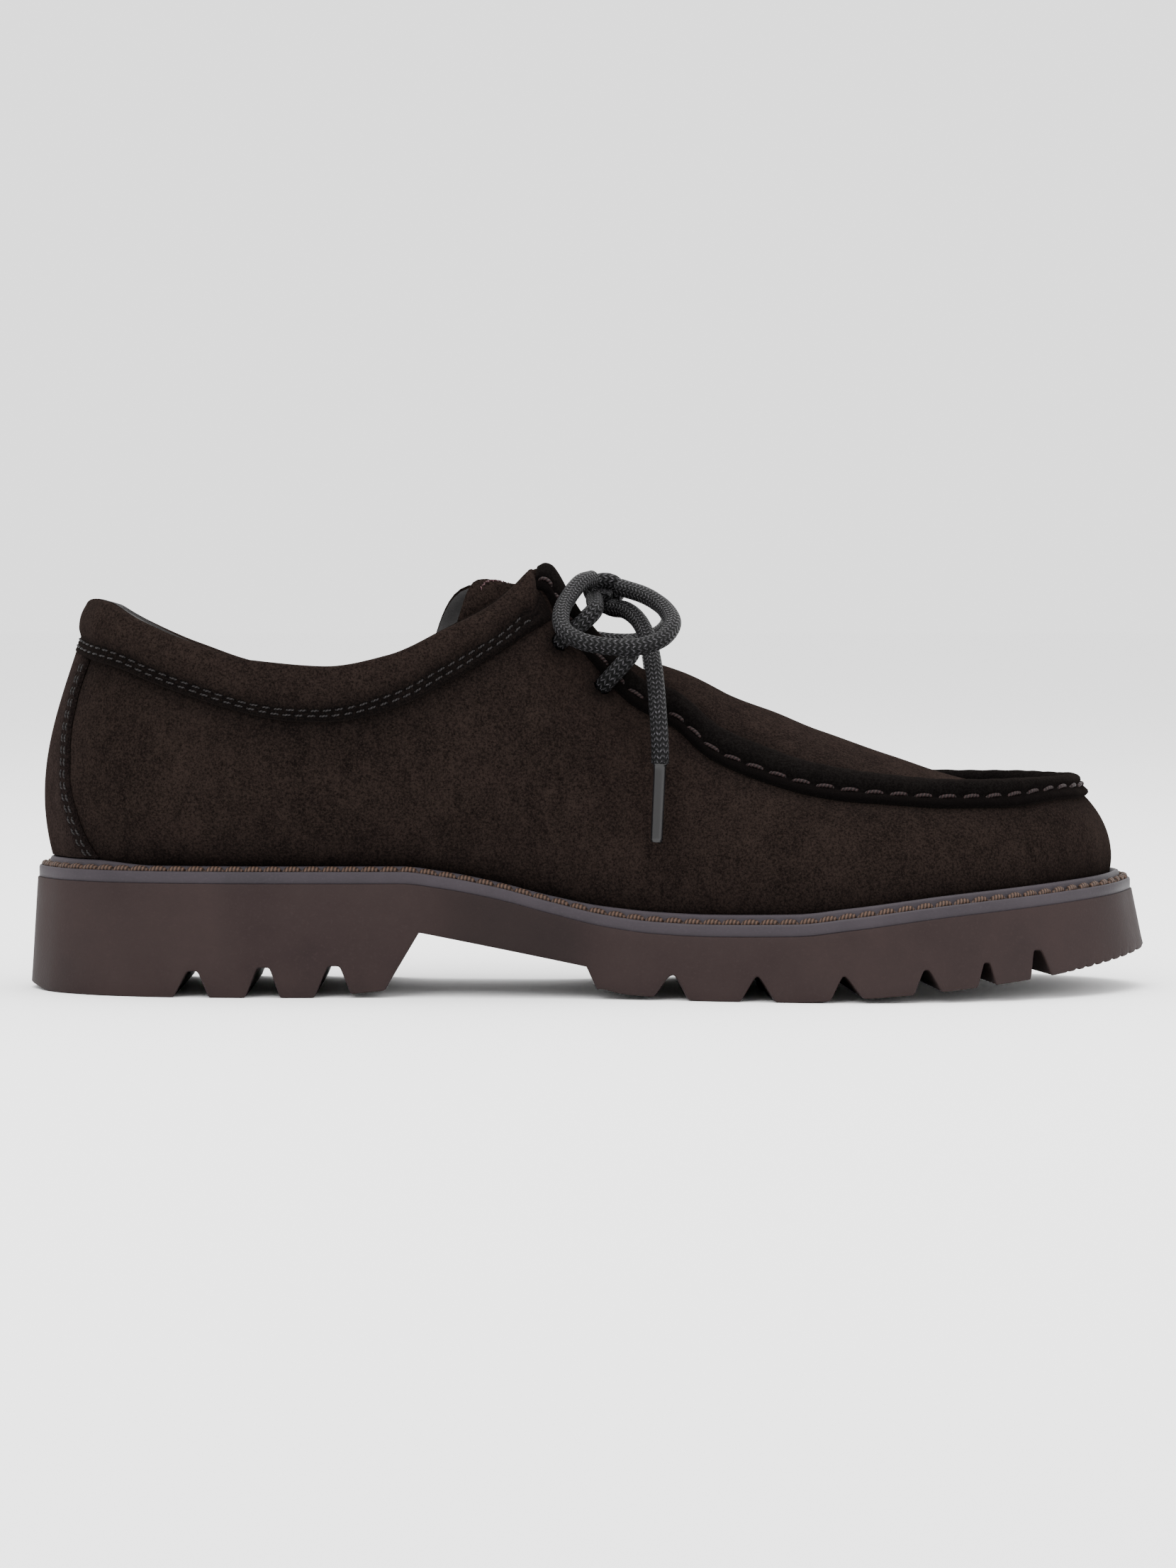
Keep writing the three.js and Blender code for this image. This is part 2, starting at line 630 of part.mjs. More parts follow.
// The place on the wall that shows at a point of the side view, with its outward direction.
function onWall(spot, side) {
  const aim = sidePoint(spot, throatHeight);
  let best = { far: Infinity };
  const steps = 24;
  let centre = { station: 11, share: 0.85 };
  for (let reach = 1; reach > 0.002; reach *= 0.2) {
    const found = centre;
    for (let i = -steps; i <= steps; i += 1) {
      for (let j = -steps; j <= steps; j += 1) {
        const station = found.station + (2.5 * reach * i) / steps;
        const share = Math.min(1, found.share + (0.15 * reach * j) / steps);
        const point = column(station, side).curve.getPoint(share);
        const far = Math.hypot(point.x - aim.x, point.z - aim.y);
        if (far < best.far) best = { far, station, share, point };
      }
    }
    centre = best;
  }
  const step = 0.02;
  const ahead = column(best.station + step, side).curve.getPoint(best.share).sub(best.point);
  const up = column(best.station, side).curve.getPoint(best.share - step).sub(best.point).negate();
  const out = ahead.cross(up).normalize();
  if (Math.sign(out.y) !== side) out.negate();
  return { point: best.point, out };
}

const holes = {
  upper: { '-1': onWall(upperHole, -1), 1: onWall(upperHole, 1) },
  lower: { '-1': onWall(lowerHole, -1), 1: onWall(lowerHole, 1) },
};

function holePunch(hole, side) {
  const { point, out } = (hole === upperHole ? holes.upper : holes.lower)[side];
  const geometry = new THREE.CylinderGeometry(laceHoleRadius, laceHoleRadius, 4 * upperWall, 16);
  geometry.applyQuaternion(new THREE.Quaternion().setFromUnitVectors(new THREE.Vector3(0, 1, 0), out));
  geometry.translate(point.x, point.y, point.z);
  return solidOf(geometry);
}

// The raised seam: from one facing top along the throat, round the toe and back.
const throatShare = (station) =>
  1 - THREE.MathUtils.smoothstep(station, apronStation - 1, apronStation + 1);
const rollAt = (station) => THREE.MathUtils.lerp(rollThickness, facingRoll, throatShare(station));

function mocSeam() {
  const sheet = new Sheet();
  const profile = [
    { reach: -lipDrop, roll: 0 },
    { reach: -0.45 * lipDrop, roll: 0.65 },
    { reach: 0, roll: 1 },
    { reach: 0.55 * rollReach, roll: 1 },
    { reach: rollReach, roll: 0 },
  ];
  const liftAt = new Map();
  const rows = profile.map(({ reach, roll }) =>
    roundStations(facingTopStation).map(({ station, side }) => {
      const place = column(station, side);
      const from = reach - (facingShift + facingLap) * throatShare(station);
      const halfWidth = Math.max(place.top.distanceTo(column(station, -side).top) / 2, smallest);
      const point = from > 0
        ? across(station, side, Math.min(lastCrossing, from / halfWidth), apronRise)
        : place.curve.getPoint(1 + from / place.reach);
      liftAt.set(point, THREE.MathUtils.lerp(lipThickness, rollAt(station), roll));
      return point;
    }),
  );
  sheet.grid(rows);
  const under = clearance + seamSlack;
  return sheet.thicken((point) => under + liftAt.get(point), under);
}

function collarBand() {
  const sheet = new Sheet();
  sheet.grid(wallGrid(heelStations(facingTopStation + 1), bandLowestRow));
  const low = new THREE.SplineCurve(bandRows.map((row) => sidePoint(row, throatHeight))).getPoints(bandSteps);
  const behind = farBehind * shoeLength;
  const above = farAbove * throatHeight;
  const front = sidePoint(bandFrontTop, throatHeight);
  const points = [new THREE.Vector2(behind, low[0].y), ...low, sidePoint(bandFront, throatHeight), front,
    new THREE.Vector2(front.x, above), new THREE.Vector2(behind, above)];
  return geometryFrom(solidOf(sheet.thicken(clearance + bandThickness, clearance)).intersect(sideSlab(points)));
}

function heelStrip() {
  const sheet = new Sheet();
  sheet.grid(wallGrid(heelStations(stripStation)));
  const foot = seatHeight(-shoeLength / 2) + beadHeight + clearance;
  const [bandBack, bandCorner] = bandRows.map((row) => sidePoint(row, throatHeight));
  const corner = new THREE.Vector2(bandCorner.x, bandCorner.y - clearance);
  const front = new THREE.SplineCurve(stripRows.map((row) => sidePoint(row, throatHeight)))
    .getPoints(bandSteps)
    .filter((place) => place.y > foot && place.y < corner.y - 1);
  const behind = farBehind * shoeLength;
  const points = [new THREE.Vector2(behind, foot), new THREE.Vector2(front[0].x, foot), ...front, corner,
    new THREE.Vector2(bandBack.x, bandBack.y - clearance), new THREE.Vector2(behind, bandBack.y - clearance)];
  return geometryFrom(solidOf(sheet.thicken(clearance + stripThickness, clearance)).intersect(sideSlab(points)));
}

function tongue() {
  const sheet = new Sheet();
  const rows = [];
  for (let cell = 0; cell <= tongueCells; cell += 1) {
    const at = 1 - (2 * cell) / tongueCells;
    const side = at > 0 ? 1 : -1;
    const away = Math.abs(at);
    const corner = side > 0 ? farCornerShift * THREE.MathUtils.smoothstep(away, 0, 0.5) : 0;
    const end = readTable(tongueEnds, 'station', away, 'across') - corner;
    const hang = side > 0
      ? farCornerDrop * THREE.MathUtils.smoothstep(away, 0, 0.25) * (1 - THREE.MathUtils.smoothstep(away, 0.4, tongueEdge))
      : 0;
    const row = [];
    for (let i = 0; i <= tongueSteps; i += 1) {
      const station = tongueFrontStation + ((end - tongueFrontStation) * i) / tongueSteps;
      if (away >= tongueEdge) {
        const drop = ((away - tongueEdge) / (1 - tongueEdge)) * tongueWingDrop;
        row.push(column(station, side).curve.getPoint(1 - drop));
      } else {
        const place = across(station, side, 1 - away / tongueEdge, bridgeRise);
        place.z -= hang * THREE.MathUtils.smoothstep(i / tongueSteps, 0.6, 1);
        row.push(place);
      }
    }
    rows.push(row);
  }
  sheet.grid(rows);
  const under = upperWall + clearance + tongueSlack;
  return sheet.thicken(-under, -under - tongueWall);
}

// Lace routes, chosen by hand.
const knot = new THREE.Vector3(knotAlong * shoeLength, 0, throatHeight - knotDrop);
const knotSeat = knotRadius + 5 * clearance;

function tube(points, diameter, sides, stepLength) {
  const path = new THREE.CatmullRomCurve3(points, false, 'centripetal');
  const shape = new THREE.Shape();
  shape.absarc(0, 0, diameter / 2, 0, 2 * Math.PI);
  const steps = Math.max(2, Math.round(path.getLength() / stepLength));
  return new THREE.ExtrudeGeometry(shape, { steps, extrudePath: path, curveSegments: sides / 2, bevelEnabled: false });
}

const laceTube = (points) => tube(points, laceDiameter, laceSides, 1.6 * laceDiameter);

// A route given in lace diameters from the knot, on the outer side or mirrored to the inner one.
const toSide = (points, side) =>
  points.map(([x, y, z]) => new THREE.Vector3(x, -side * y, z).multiplyScalar(laceDiameter).add(knot));

const loopRoute = [
  [-0.745, -1.213, 0.681], [-1.383, -2.553, 0.468], [-2.064, -4.255, -0.34], [-2.489, -5.957, -1.234],
  [-2.34, -7.447, -2.149], [-1.383, -8.511, -2.766], [0.106, -9.043, -3.064], [1.809, -8.936, -3.106],
  [3.191, -8.085, -2.681], [3.851, -6.596, -1.894], [3.511, -4.681, -1.064], [2.447, -2.872, -0.319],
  [0.957, -1.234, 0.191],
];
const endRoute = [
  [0.532, -0.979, -1.021], [1.17, -1.809, -1.106], [1.851, -2.979, -1.574], [2.362, -4.468, -2.426],
  [2.66, -5.957, -3.532], [2.851, -7.447, -4.851], [2.979, -8.617, -6.468], [3.085, -9.447, -8.106],
  [3.117, -9.702, -9.021], [3.106, -9.787, -9.66],
];
const tipWay = { x: -0.043, y: -0.038, z: -1 };
const strandSeat = new THREE.Vector3(-0.5, 0.8, -0.4);

// A place over the wall, clear of the seam, that shows at a spot of the side view.
function overSeam(spot, side) {
  const { point, out } = onWall(spot, side);
  return point.clone().addScaledVector(out, facingRoll + seamSlack + 6 * clearance + laceDiameter / 2);
}

function strandRoute(side) {
  const { point, out } = holes.upper[side];
  const end = knot.clone().addScaledVector(strandSeat, knotSeat);
  end.y = side * (knotLength / 2 + strandSeat.y * knotSeat);
  return [
    point.clone().addScaledVector(out, 2 * clearance),
    point.clone().addScaledVector(out, laceDiameter),
    overSeam(strandSpot, side),
    end,
  ];
}

function barRoute() {
  const half = (side) => {
    const { point, out } = holes.lower[side];
    return [
      point.clone().addScaledVector(out, 2 * clearance),
      point.clone().addScaledVector(out, 1.3 * laceDiameter),
      overSeam(barSpot, side),
    ];
  };
  const outer = half(-1);
  const inner = half(1).reverse();
  const crest = outer[2].clone().lerp(inner[0], 0.5);
  crest.z += barRise;
  return [...outer, crest, ...inner];
}

function knotSolid() {
  const geometry = new THREE.CapsuleGeometry(knotRadius, knotLength, 4, 12);
  geometry.translate(knot.x, knot.y, knot.z);
  return geometry;
}

function tipSolid(side) {
  const end = toSide(endRoute.slice(-1), side)[0];
  const way = new THREE.Vector3(tipWay.x, -side * tipWay.y, tipWay.z).normalize();
  const ends = [tipGap, tipLength].map((far) => end.clone().addScaledVector(way, far));
  return tube(ends, tipDiameter, tipSides, tipLength);
}

// The assembly
const suede = { color: '#241a18', roughness: 0.95, metalness: 0 };
const rubber = { color: '#463a39', roughness: 0.6, metalness: 0 };
const weltRubber = { color: '#4f4649', roughness: 0.6, metalness: 0 };
const leather = { color: '#7d8082', roughness: 0.7, metalness: 0 };
const cord = { color: '#2e2d2f', roughness: 0.5, metalness: 0 };
const tipPlastic = { color: '#3a393c', roughness: 0.25, metalness: 0 };

const shoe = new THREE.Group();
shoe.name = 'shoe';

function add(name, geometry, finish) {
  const mesh = new THREE.Mesh(geometry, new THREE.MeshStandardMaterial(finish));
  mesh.name = name;
  shoe.add(mesh);
}

add('outsole', outsole(), rubber);
add('welt', welt(), weltRubber);
add('insole', insole(), leather);
add('upper', upper(), suede);
add('moc_seam', mocSeam(), suede);
add('collar_band', collarBand(), suede);
add('heel_strip', heelStrip(), suede);
add('tongue', tongue(), suede);
add('lace_bar', laceTube(barRoute()), cord);
add('lace_knot', knotSolid(), cord);
for (const [side, name] of [[-1, 'lateral'], [1, 'medial']]) {
  add(`lace_strand_${name}`, laceTube(strandRoute(side)), cord);
  add(`lace_loop_${name}`, laceTube(toSide(loopRoute, side)), cord);
  add(`lace_end_${name}`, laceTube(toSide(endRoute, side)), cord);
  add(`lace_tip_${name}`, tipSolid(side), tipPlastic);
}

// The origin lies on the floor under the middle of the sole.
const middle = new THREE.Box3().setFromObject(shoe.getObjectByName('outsole')).getCenter(new THREE.Vector3());
shoe.position.set(-middle.x, -middle.y, 0);

export default shoe;
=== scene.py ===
# The looks of the lace-up shoe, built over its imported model.
# Shapes are worked out in millimetres with the heel-to-toe line along X, the inner side of the foot to +Y.
import math

import bpy
import numpy as np
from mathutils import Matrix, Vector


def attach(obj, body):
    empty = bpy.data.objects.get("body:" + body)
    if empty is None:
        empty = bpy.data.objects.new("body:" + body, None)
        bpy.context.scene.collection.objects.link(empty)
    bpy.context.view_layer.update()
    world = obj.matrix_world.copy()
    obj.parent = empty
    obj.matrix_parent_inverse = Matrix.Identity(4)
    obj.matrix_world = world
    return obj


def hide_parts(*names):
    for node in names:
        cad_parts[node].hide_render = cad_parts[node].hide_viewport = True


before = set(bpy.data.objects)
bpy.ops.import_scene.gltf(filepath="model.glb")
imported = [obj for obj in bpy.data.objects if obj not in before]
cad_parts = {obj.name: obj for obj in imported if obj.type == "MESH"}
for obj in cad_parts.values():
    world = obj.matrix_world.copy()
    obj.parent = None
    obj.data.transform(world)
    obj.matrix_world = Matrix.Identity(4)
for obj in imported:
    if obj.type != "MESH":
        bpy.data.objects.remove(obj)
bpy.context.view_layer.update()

SHIFT = np.array([0.0635, 2.5909, 0.0])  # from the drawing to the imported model's place
MM = 0.001
UP = np.array([0, 0, 1.0])

SHOE_LENGTH = 305
BALL_WIDTH = 112
THROAT_HEIGHT = 115.6
HEEL_HEIGHT = 30.4
CLEARANCE = 0.3
SOLE_FLARE = 1.9
TOE_SETBACK = 1.4
TREAD_SPLAY = 0.14
GROOVE_EDGE = 0.4
WELT_SETBACK = 0.4
WELT_THICKNESS = 3
WELT_REACH = 5.7
BEAD_WIDTH = 1.9
BEAD_HEIGHT = 1.6
UPPER_WALL = 2.2
MEDIAL_DROP = 2.2
TONGUE_WALL = 2
TONGUE_SLACK = 0.8
FACING_SHIFT = 4.35
LACE_HOLE_RADIUS = 2.6
LACE_DIAMETER = 4.7
TIP_DIAMETER = 3.3
TIP_LENGTH = 21
FOOT_SIDES = 384  # steps round the upper's foot
OUTLINE_CUTS = 200
CROWN_LEAD = 0.12
# Stations on the top edge.
FACING_TOP = 10
APRON_START = 13
TONGUE_FRONT = 15.5
BAND_TOP_FRONT = 9.2
# Shares of the tongue's half width.
TONGUE_EDGE = 0.6
TONGUE_WING = 0.24


def table(columns, rows):
    return dict(zip(columns.split(), np.array(rows, float).T))


OUTLINE = table(
    "along lateral medial",
    [
        (0, 0, 0), (0.02, 0.152, 0.152), (0.05, 0.241, 0.232), (0.1, 0.313, 0.295), (0.18, 0.353, 0.33),
        (0.28, 0.357, 0.321), (0.38, 0.357, 0.277), (0.46, 0.375, 0.254), (0.55, 0.42, 0.286),
        (0.64, 0.478, 0.375), (0.7, 0.509, 0.438), (0.76, 0.518, 0.469), (0.82, 0.491, 0.469),
        (0.88, 0.429, 0.433), (0.93, 0.33, 0.366), (0.97, 0.205, 0.268), (0.99, 0.089, 0.17),
        (1, -0.036, 0.036),
    ],
)
RUBBER_TOP = table(
    "along height",
    [
        (-0.5, 1), (-0.164, 1), (-0.131, 0.962), (-0.081, 0.868), (-0.034, 0.745), (0.013, 0.635),
        (0.059, 0.577), (0.105, 0.56), (0.18, 0.572), (0.226, 0.625), (0.318, 0.74), (0.5, 0.888),
    ],
)
ROCKER = table(
    "along height",
    [
        (-0.5, 0), (0.01, 0.09), (0.03, 0.05), (0.059, 0.028), (0.105, 0), (0.18, 0), (0.217, 0.025),
        (0.29, 0.078), (0.348, 0.138), (0.42, 0.225), (0.5, 0.36),
    ],
)
# Hollow under the waist, from the flat of the heel to the ball.
WAIST = table(
    "along height", [(-0.24, 0), (-0.178, 0.0658), (-0.148, 0.572), (-0.0015, 0.283), (0.0072, 0.095)],
)
GROOVES = table(
    "along mouth crown shift rise splay",
    [
        (-0.348, 9.6, 3.1, 0.3, 6.8, 0), (-0.285, 9.4, 3.5, 0.2, 7.8, 0), (-0.223, 10.2, 3.4, 0.1, 8.2, 0),
        (0.071, 9.1, 1.8, 0.6, 5.9, 0.2), (0.1457, 9.2, 1.2, -0.1, 6.6, 0.35),
        (0.2215, 8.7, 1.2, -0.8, 6.1, 0.5),
        (0.2915, 7.7, 1.7, -0.5, 6.1, 0.65), (0.344, 5.2, 1.8, 0, 6, 0.8), (0.396, 6.6, 2.5, -1, 7, 1),
    ],
)
# Top edge of the upper from the back seam to the toe; bulge and lean are angles from upright.
EDGE = table(
    "along lateral medial height bulge lean crown bridge",
    [
        (-0.439, 0, 0, 0.919, 17, 16, 0, 0.3), (-0.428, 0.125, 0.121, 0.915, 18, 15, 0, 0.3),
        (-0.398, 0.214, 0.205, 0.874, 21, 13, 0, 0.3), (-0.354, 0.263, 0.25, 0.823, 24, 10, 0, 0.3),
        (-0.295, 0.29, 0.272, 0.776, 25, 8, 0, 0.3), (-0.231, 0.304, 0.281, 0.763, 24, 8, 0, 0.3),
        (-0.1765, 0.295, 0.277, 0.79, 22, 12, 0, 0.3), (-0.129, 0.25, 0.241, 0.848, 20, 20, 0, 0.3),
        (-0.0873, 0.179, 0.179, 0.908, 18, 32, 0, 0.14), (-0.05, 0.105, 0.105, 0.977, 16, 42, 0, -0.006),
        (-0.04, 0.1, 0.1, 0.979, 15, 46, 0, 0.002), (-0.0066, 0.103, 0.103, 0.876, 13, 50, 0, 0.022),
        (0.026, 0.116, 0.116, 0.777, 12, 52, 0, 0.038), (0.0535, 0.143, 0.143, 0.7, 11, 54, 0.068, 0.068),
        (0.082, 0.192, 0.188, 0.644, 10, 55, 0.096, 0.096),
        (0.111, 0.232, 0.228, 0.577, 10, 56, 0.122, 0.122),
        (0.151, 0.268, 0.259, 0.532, 10, 58, 0.124, 0.124),
        (0.197, 0.295, 0.277, 0.495, 10, 60, 0.111, 0.111),
        (0.256, 0.304, 0.281, 0.474, 10, 60, 0.077, 0.077), (0.315, 0.29, 0.277, 0.466, 10, 58, 0.034, 0.034),
        (0.367, 0.241, 0.259, 0.468, 11, 56, 0.002, 0.002), (0.407, 0.161, 0.21, 0.47, 12, 54, -0.012, 0),
        (0.43, 0.071, 0.129, 0.47, 12, 50, -0.007, 0), (0.439, -0.027, 0.027, 0.47, 12, 50, 0, 0),
    ],
)
EDGE["station"] = np.arange(len(EDGE["along"]), dtype=float)
LAST = len(EDGE["along"]) - 1
TONGUE_ENDS = table("across station", [(0, 9.3), (0.3, 8.6), (0.45, 7.6), (0.6, 7.3), (1, 7.1)])
BAND = table(
    "along height",
    [
        (-0.464, 0.797), (-0.444, 0.779), (-0.413, 0.758), (-0.382, 0.725), (-0.352, 0.697), (-0.322, 0.672),
        (-0.288, 0.649), (-0.262, 0.638), (-0.23, 0.636), (-0.205, 0.643), (-0.169, 0.669), (-0.1205, 0.73),
        (-0.0315, 0.873),
    ],
)
STRIP = table(
    "along height",
    [
        (-0.426, 0.23), (-0.4287, 0.297), (-0.4407, 0.349), (-0.4505, 0.408), (-0.4585, 0.502),
        (-0.4585, 0.58), (-0.452, 0.69), (-0.4407, 0.779), (-0.433, 0.85),
    ],
)
HOLES = {"upper": (-0.025, 0.819), "lower": (0.013, 0.717)}
STRAND_SPOT = (-0.0085, 0.857)
BAR_SPOT = (0.026, 0.753)
SEAM_PITCH = 6.6
BAND_ROWS = (2.1, 4.0)  # stitch rows above the band's lower edge
STRIP_ROWS = (1.5, 3.4)  # stitch rows behind the strip's front edge
ROW_STITCH = {"pitch": 3.3, "length": 2.6, "radius": 0.3, "sunk": 0.3, "slant": 0.2}


def read(rows, key, at, column="along", round_ends=False):
    """A smooth value out of a table, without overshoot between its rows."""
    xs, ys = rows[column], rows[key]
    slopes = np.diff(ys) / np.diff(xs)
    total = slopes[:-1] + slopes[1:]
    product = slopes[:-1] * slopes[1:]
    inner = np.where(product > 0, 2 * product / np.where(total == 0, 1, total), 0)
    ends = 0.0 if round_ends else 1.0
    knots = np.concatenate([slopes[:1] * ends, inner, slopes[-1:] * ends])
    at = np.clip(at, xs[0], xs[-1])
    i = np.clip(np.searchsorted(xs, at, side="right") - 1, 0, len(xs) - 2)
    span = xs[i + 1] - xs[i]
    t = (at - xs[i]) / span
    rise = t * t * (3 - 2 * t)
    bend = span * t * (1 - t) * (knots[i] * (1 - t) - knots[i + 1] * t)
    return ys[i] * (1 - rise) + ys[i + 1] * rise + bend


def smoothstep(at, low, high):
    t = np.clip((at - low) / (high - low), 0, 1)
    return t * t * (3 - 2 * t)


def fade(distance, length):
    """One up to distance zero, then falling off over the length."""
    return np.exp(-np.clip(distance, 0, None) / length)


def hump(at, middle, width):
    """A bell of height one."""
    return np.exp(-(((at - middle) / width) ** 2))


def unit(vectors):
    return vectors / np.maximum(np.linalg.norm(vectors, axis=-1), 1e-12)[..., None]


def run(points):
    """The way along a polyline from its start to each point."""
    return np.concatenate([[0], np.cumsum(np.linalg.norm(np.diff(points, axis=0), axis=1))])


def each(rows):
    """The rows of a table one by one."""
    return [dict(zip(rows, values)) for values in zip(*rows.values())]


def rubber_top(x):
    return HEEL_HEIGHT * read(RUBBER_TOP, "height", x / SHOE_LENGTH)


def rocker(x):
    return HEEL_HEIGHT * read(ROCKER, "height", x / SHOE_LENGTH)


def seat_height(x):
    return rubber_top(x) + WELT_THICKNESS + 2 * CLEARANCE


def catmull_rom(points, at, closed=False):
    """Centripetal curve through the points at shares 0 to 1 of its parameter."""
    points = np.asarray(points, float)
    count = len(points)
    if closed:
        place = (at % 1) * count
        i = np.floor(place).astype(int)
        p = [points[(i + k) % count] for k in (-1, 0, 1, 2)]
    else:
        place = np.clip(at, 0, 1) * (count - 1)
        i = np.minimum(np.floor(place).astype(int), count - 2)
        longer = np.vstack([2 * points[0] - points[1], points, 2 * points[-1] - points[-2]])
        p = [longer[i + k] for k in (0, 1, 2, 3)]
    t = (place - i)[:, None]
    d = [np.maximum(np.sum((p[k + 1] - p[k]) ** 2, axis=1), 1e-9)[:, None] ** 0.25 for k in range(3)]
    start = ((p[1] - p[0]) / d[0] - (p[2] - p[0]) / (d[0] + d[1]) + (p[2] - p[1]) / d[1]) * d[1]
    stop = ((p[2] - p[1]) / d[1] - (p[3] - p[1]) / (d[1] + d[2]) + (p[3] - p[2]) / d[2]) * d[1]
    return (
        p[1] + start * t + (3 * (p[2] - p[1]) - 2 * start - stop) * t**2
        + (2 * (p[1] - p[2]) + start + stop) * t**3
    )


def outline_points():
    x = (OUTLINE["along"] - 0.5) * SHOE_LENGTH
    outer = np.stack([x, -OUTLINE["lateral"] * BALL_WIDTH], 1)
    inner = np.stack([x, OUTLINE["medial"] * BALL_WIDTH], 1)
    return np.vstack([outer[:-1], inner[-1:], inner[1:-1][::-1]])


OUTLINE_KNOTS = outline_points()
OUTLINE_TIMES = np.arange(OUTLINE_CUTS + 1) / OUTLINE_CUTS
OUTLINE_LENGTHS = run(catmull_rom(OUTLINE_KNOTS, OUTLINE_TIMES, closed=True))


def outline_at(share):
    """Places and inward directions at shares of the sole's outline, from the heel by the outer side."""
    t = np.interp((share % 1) * OUTLINE_LENGTHS[-1], OUTLINE_LENGTHS, OUTLINE_TIMES)
    before, place, after = (catmull_rom(OUTLINE_KNOTS, t + step, closed=True) for step in (-1e-4, 0, 1e-4))
    ahead = unit(after - before)
    return place, np.stack([-ahead[:, 1], ahead[:, 0]], 1)


def toe_share(x):
    return smoothstep(x / SHOE_LENGTH, 0.2, 0.5)


def ring(inset, height_at, share):
    """Places round the sole, set in from its outline."""
    point, inward = outline_at(share)
    inset = inset + TOE_SETBACK * toe_share(point[:, 0])
    moved = point + inward * inset[:, None]
    return np.column_stack([moved, height_at(moved[:, 0])])


WELT_INSET = SOLE_FLARE + WELT_SETBACK
UPPER_INSET = WELT_INSET + WELT_REACH
FOOT_RING = ring(UPPER_INSET, seat_height, np.arange(FOOT_SIDES) / FOOT_SIDES)


def station_tables():
    """The top edge's table for each side, in millimetres, with the nearest place on the upper's foot."""
    tables = {}
    half = FOOT_SIDES // 2
    station, last = EDGE["station"], FACING_TOP - 1
    for side in (-1, 1):
        x = EDGE["along"] * SHOE_LENGTH
        y = (-EDGE["lateral"] if side < 0 else EDGE["medial"]) * BALL_WIDTH
        places = FOOT_RING[-side * np.arange(half + 1) % FOOT_SIDES]
        foot = np.argmin(np.hypot(places[:, 0] - x[:, None], places[:, 1] - y[:, None]), axis=1).astype(float)
        foot[0], foot[-1] = 0, half
        drop = np.where((side > 0) & (station < last), np.sin(np.pi * station / last), 0)
        z = EDGE["height"] * THROAT_HEIGHT - MEDIAL_DROP * drop
        tables[side] = {**EDGE, "x": x, "y": y, "z": z, "foot": foot}
    return tables


STATIONS = station_tables()
ROUND_KEYS = ("foot", "x", "y", "z", "bulge", "lean")


def column(station, side):
    """The four control points of the wall's curve at each station, from its foot to its top edge."""
    station, side = np.broadcast_arrays(np.asarray(station, float), side)
    curve = np.empty((4, *station.shape, 3))
    for one in (-1, 1):
        pick = side == one
        if not pick.any():
            continue
        rows = STATIONS[one]
        value = {k: read(rows, k, station[pick], "station", k not in ("y", "foot")) for k in ROUND_KEYS}
        foot = value["foot"]
        low = np.floor(foot).astype(int)
        share = (foot - low)[:, None]
        near, far = (FOOT_RING[-one * np.minimum(n, FOOT_SIDES // 2) % FOOT_SIDES] for n in (low, low + 1))
        base = near * (1 - share) + far * share
        _, inward = outline_at((foot if one < 0 else FOOT_SIDES - foot) / FOOT_SIDES)
        out = np.column_stack([-inward, np.zeros(len(inward))])
        top = np.column_stack([value["x"], value["y"], value["z"]])
        handle = 0.38 * np.linalg.norm(top - base, axis=1)[:, None]
        bulge, lean = (np.radians(value[k])[:, None] for k in ("bulge", "lean"))
        curve[0][pick] = base
        curve[1][pick] = base + handle * (out * np.sin(bulge) + UP * np.cos(bulge))
        curve[2][pick] = top + handle * (out * np.sin(lean) - UP * np.cos(lean))
        curve[3][pick] = top
    return curve


def spread(*values):
    return np.broadcast_arrays(*(np.asarray(value, float) for value in values))


def wall(station, side, share):
    """Places on the upper's outside."""
    station, side, share = spread(station, side, share)
    b = column(station, side)
    t = share[..., None]
    return (1 - t) ** 3 * b[0] + 3 * (1 - t) ** 2 * t * b[1] + 3 * (1 - t) * t**2 * b[2] + t**3 * b[3]


def wall_frame(station, side, share, step=0.02):
    """Outward and upward directions on the wall."""
    station, side, share = spread(station, side, share)
    before, after = np.maximum(station - step, 0), np.minimum(station + step, LAST)
    ahead = wall(after, side, share) - wall(before, side, share)
    up = wall(station, side, np.minimum(share + step, 1)) - wall(station, side, np.maximum(share - step, 0))
    out = np.cross(ahead, up) * np.where(side < 0, 1, -1)[..., None]
    out[..., 1] = np.where(station < 1e-6, 0, out[..., 1])
    return unit(out), unit(up)


def reach(station, side):
    """Straight way up the wall."""
    b = column(station, side)
    return np.linalg.norm(b[3] - b[0], axis=-1)


def half_width(station, side):
    """Half the way between the two top edges."""
    return np.linalg.norm(column(station, side)[3] - column(station, -side)[3], axis=-1) / 2


def across(station, side, share, key):
    """Places between the two top edges: the apron, and the tongue over the open throat."""
    station, side, share = spread(station, side, share)
    near, far = column(station, side)[3], column(station, -side)[3]
    point = near + ((near + far) / 2 - near) * share[..., None]
    point[..., 0] += CROWN_LEAD * half_width(station, side) * share
    rise = read(EDGE, key, station, "station", True)
    point[..., 2] += rise * THROAT_HEIGHT * (1 - (1 - share) ** 2)
    return point


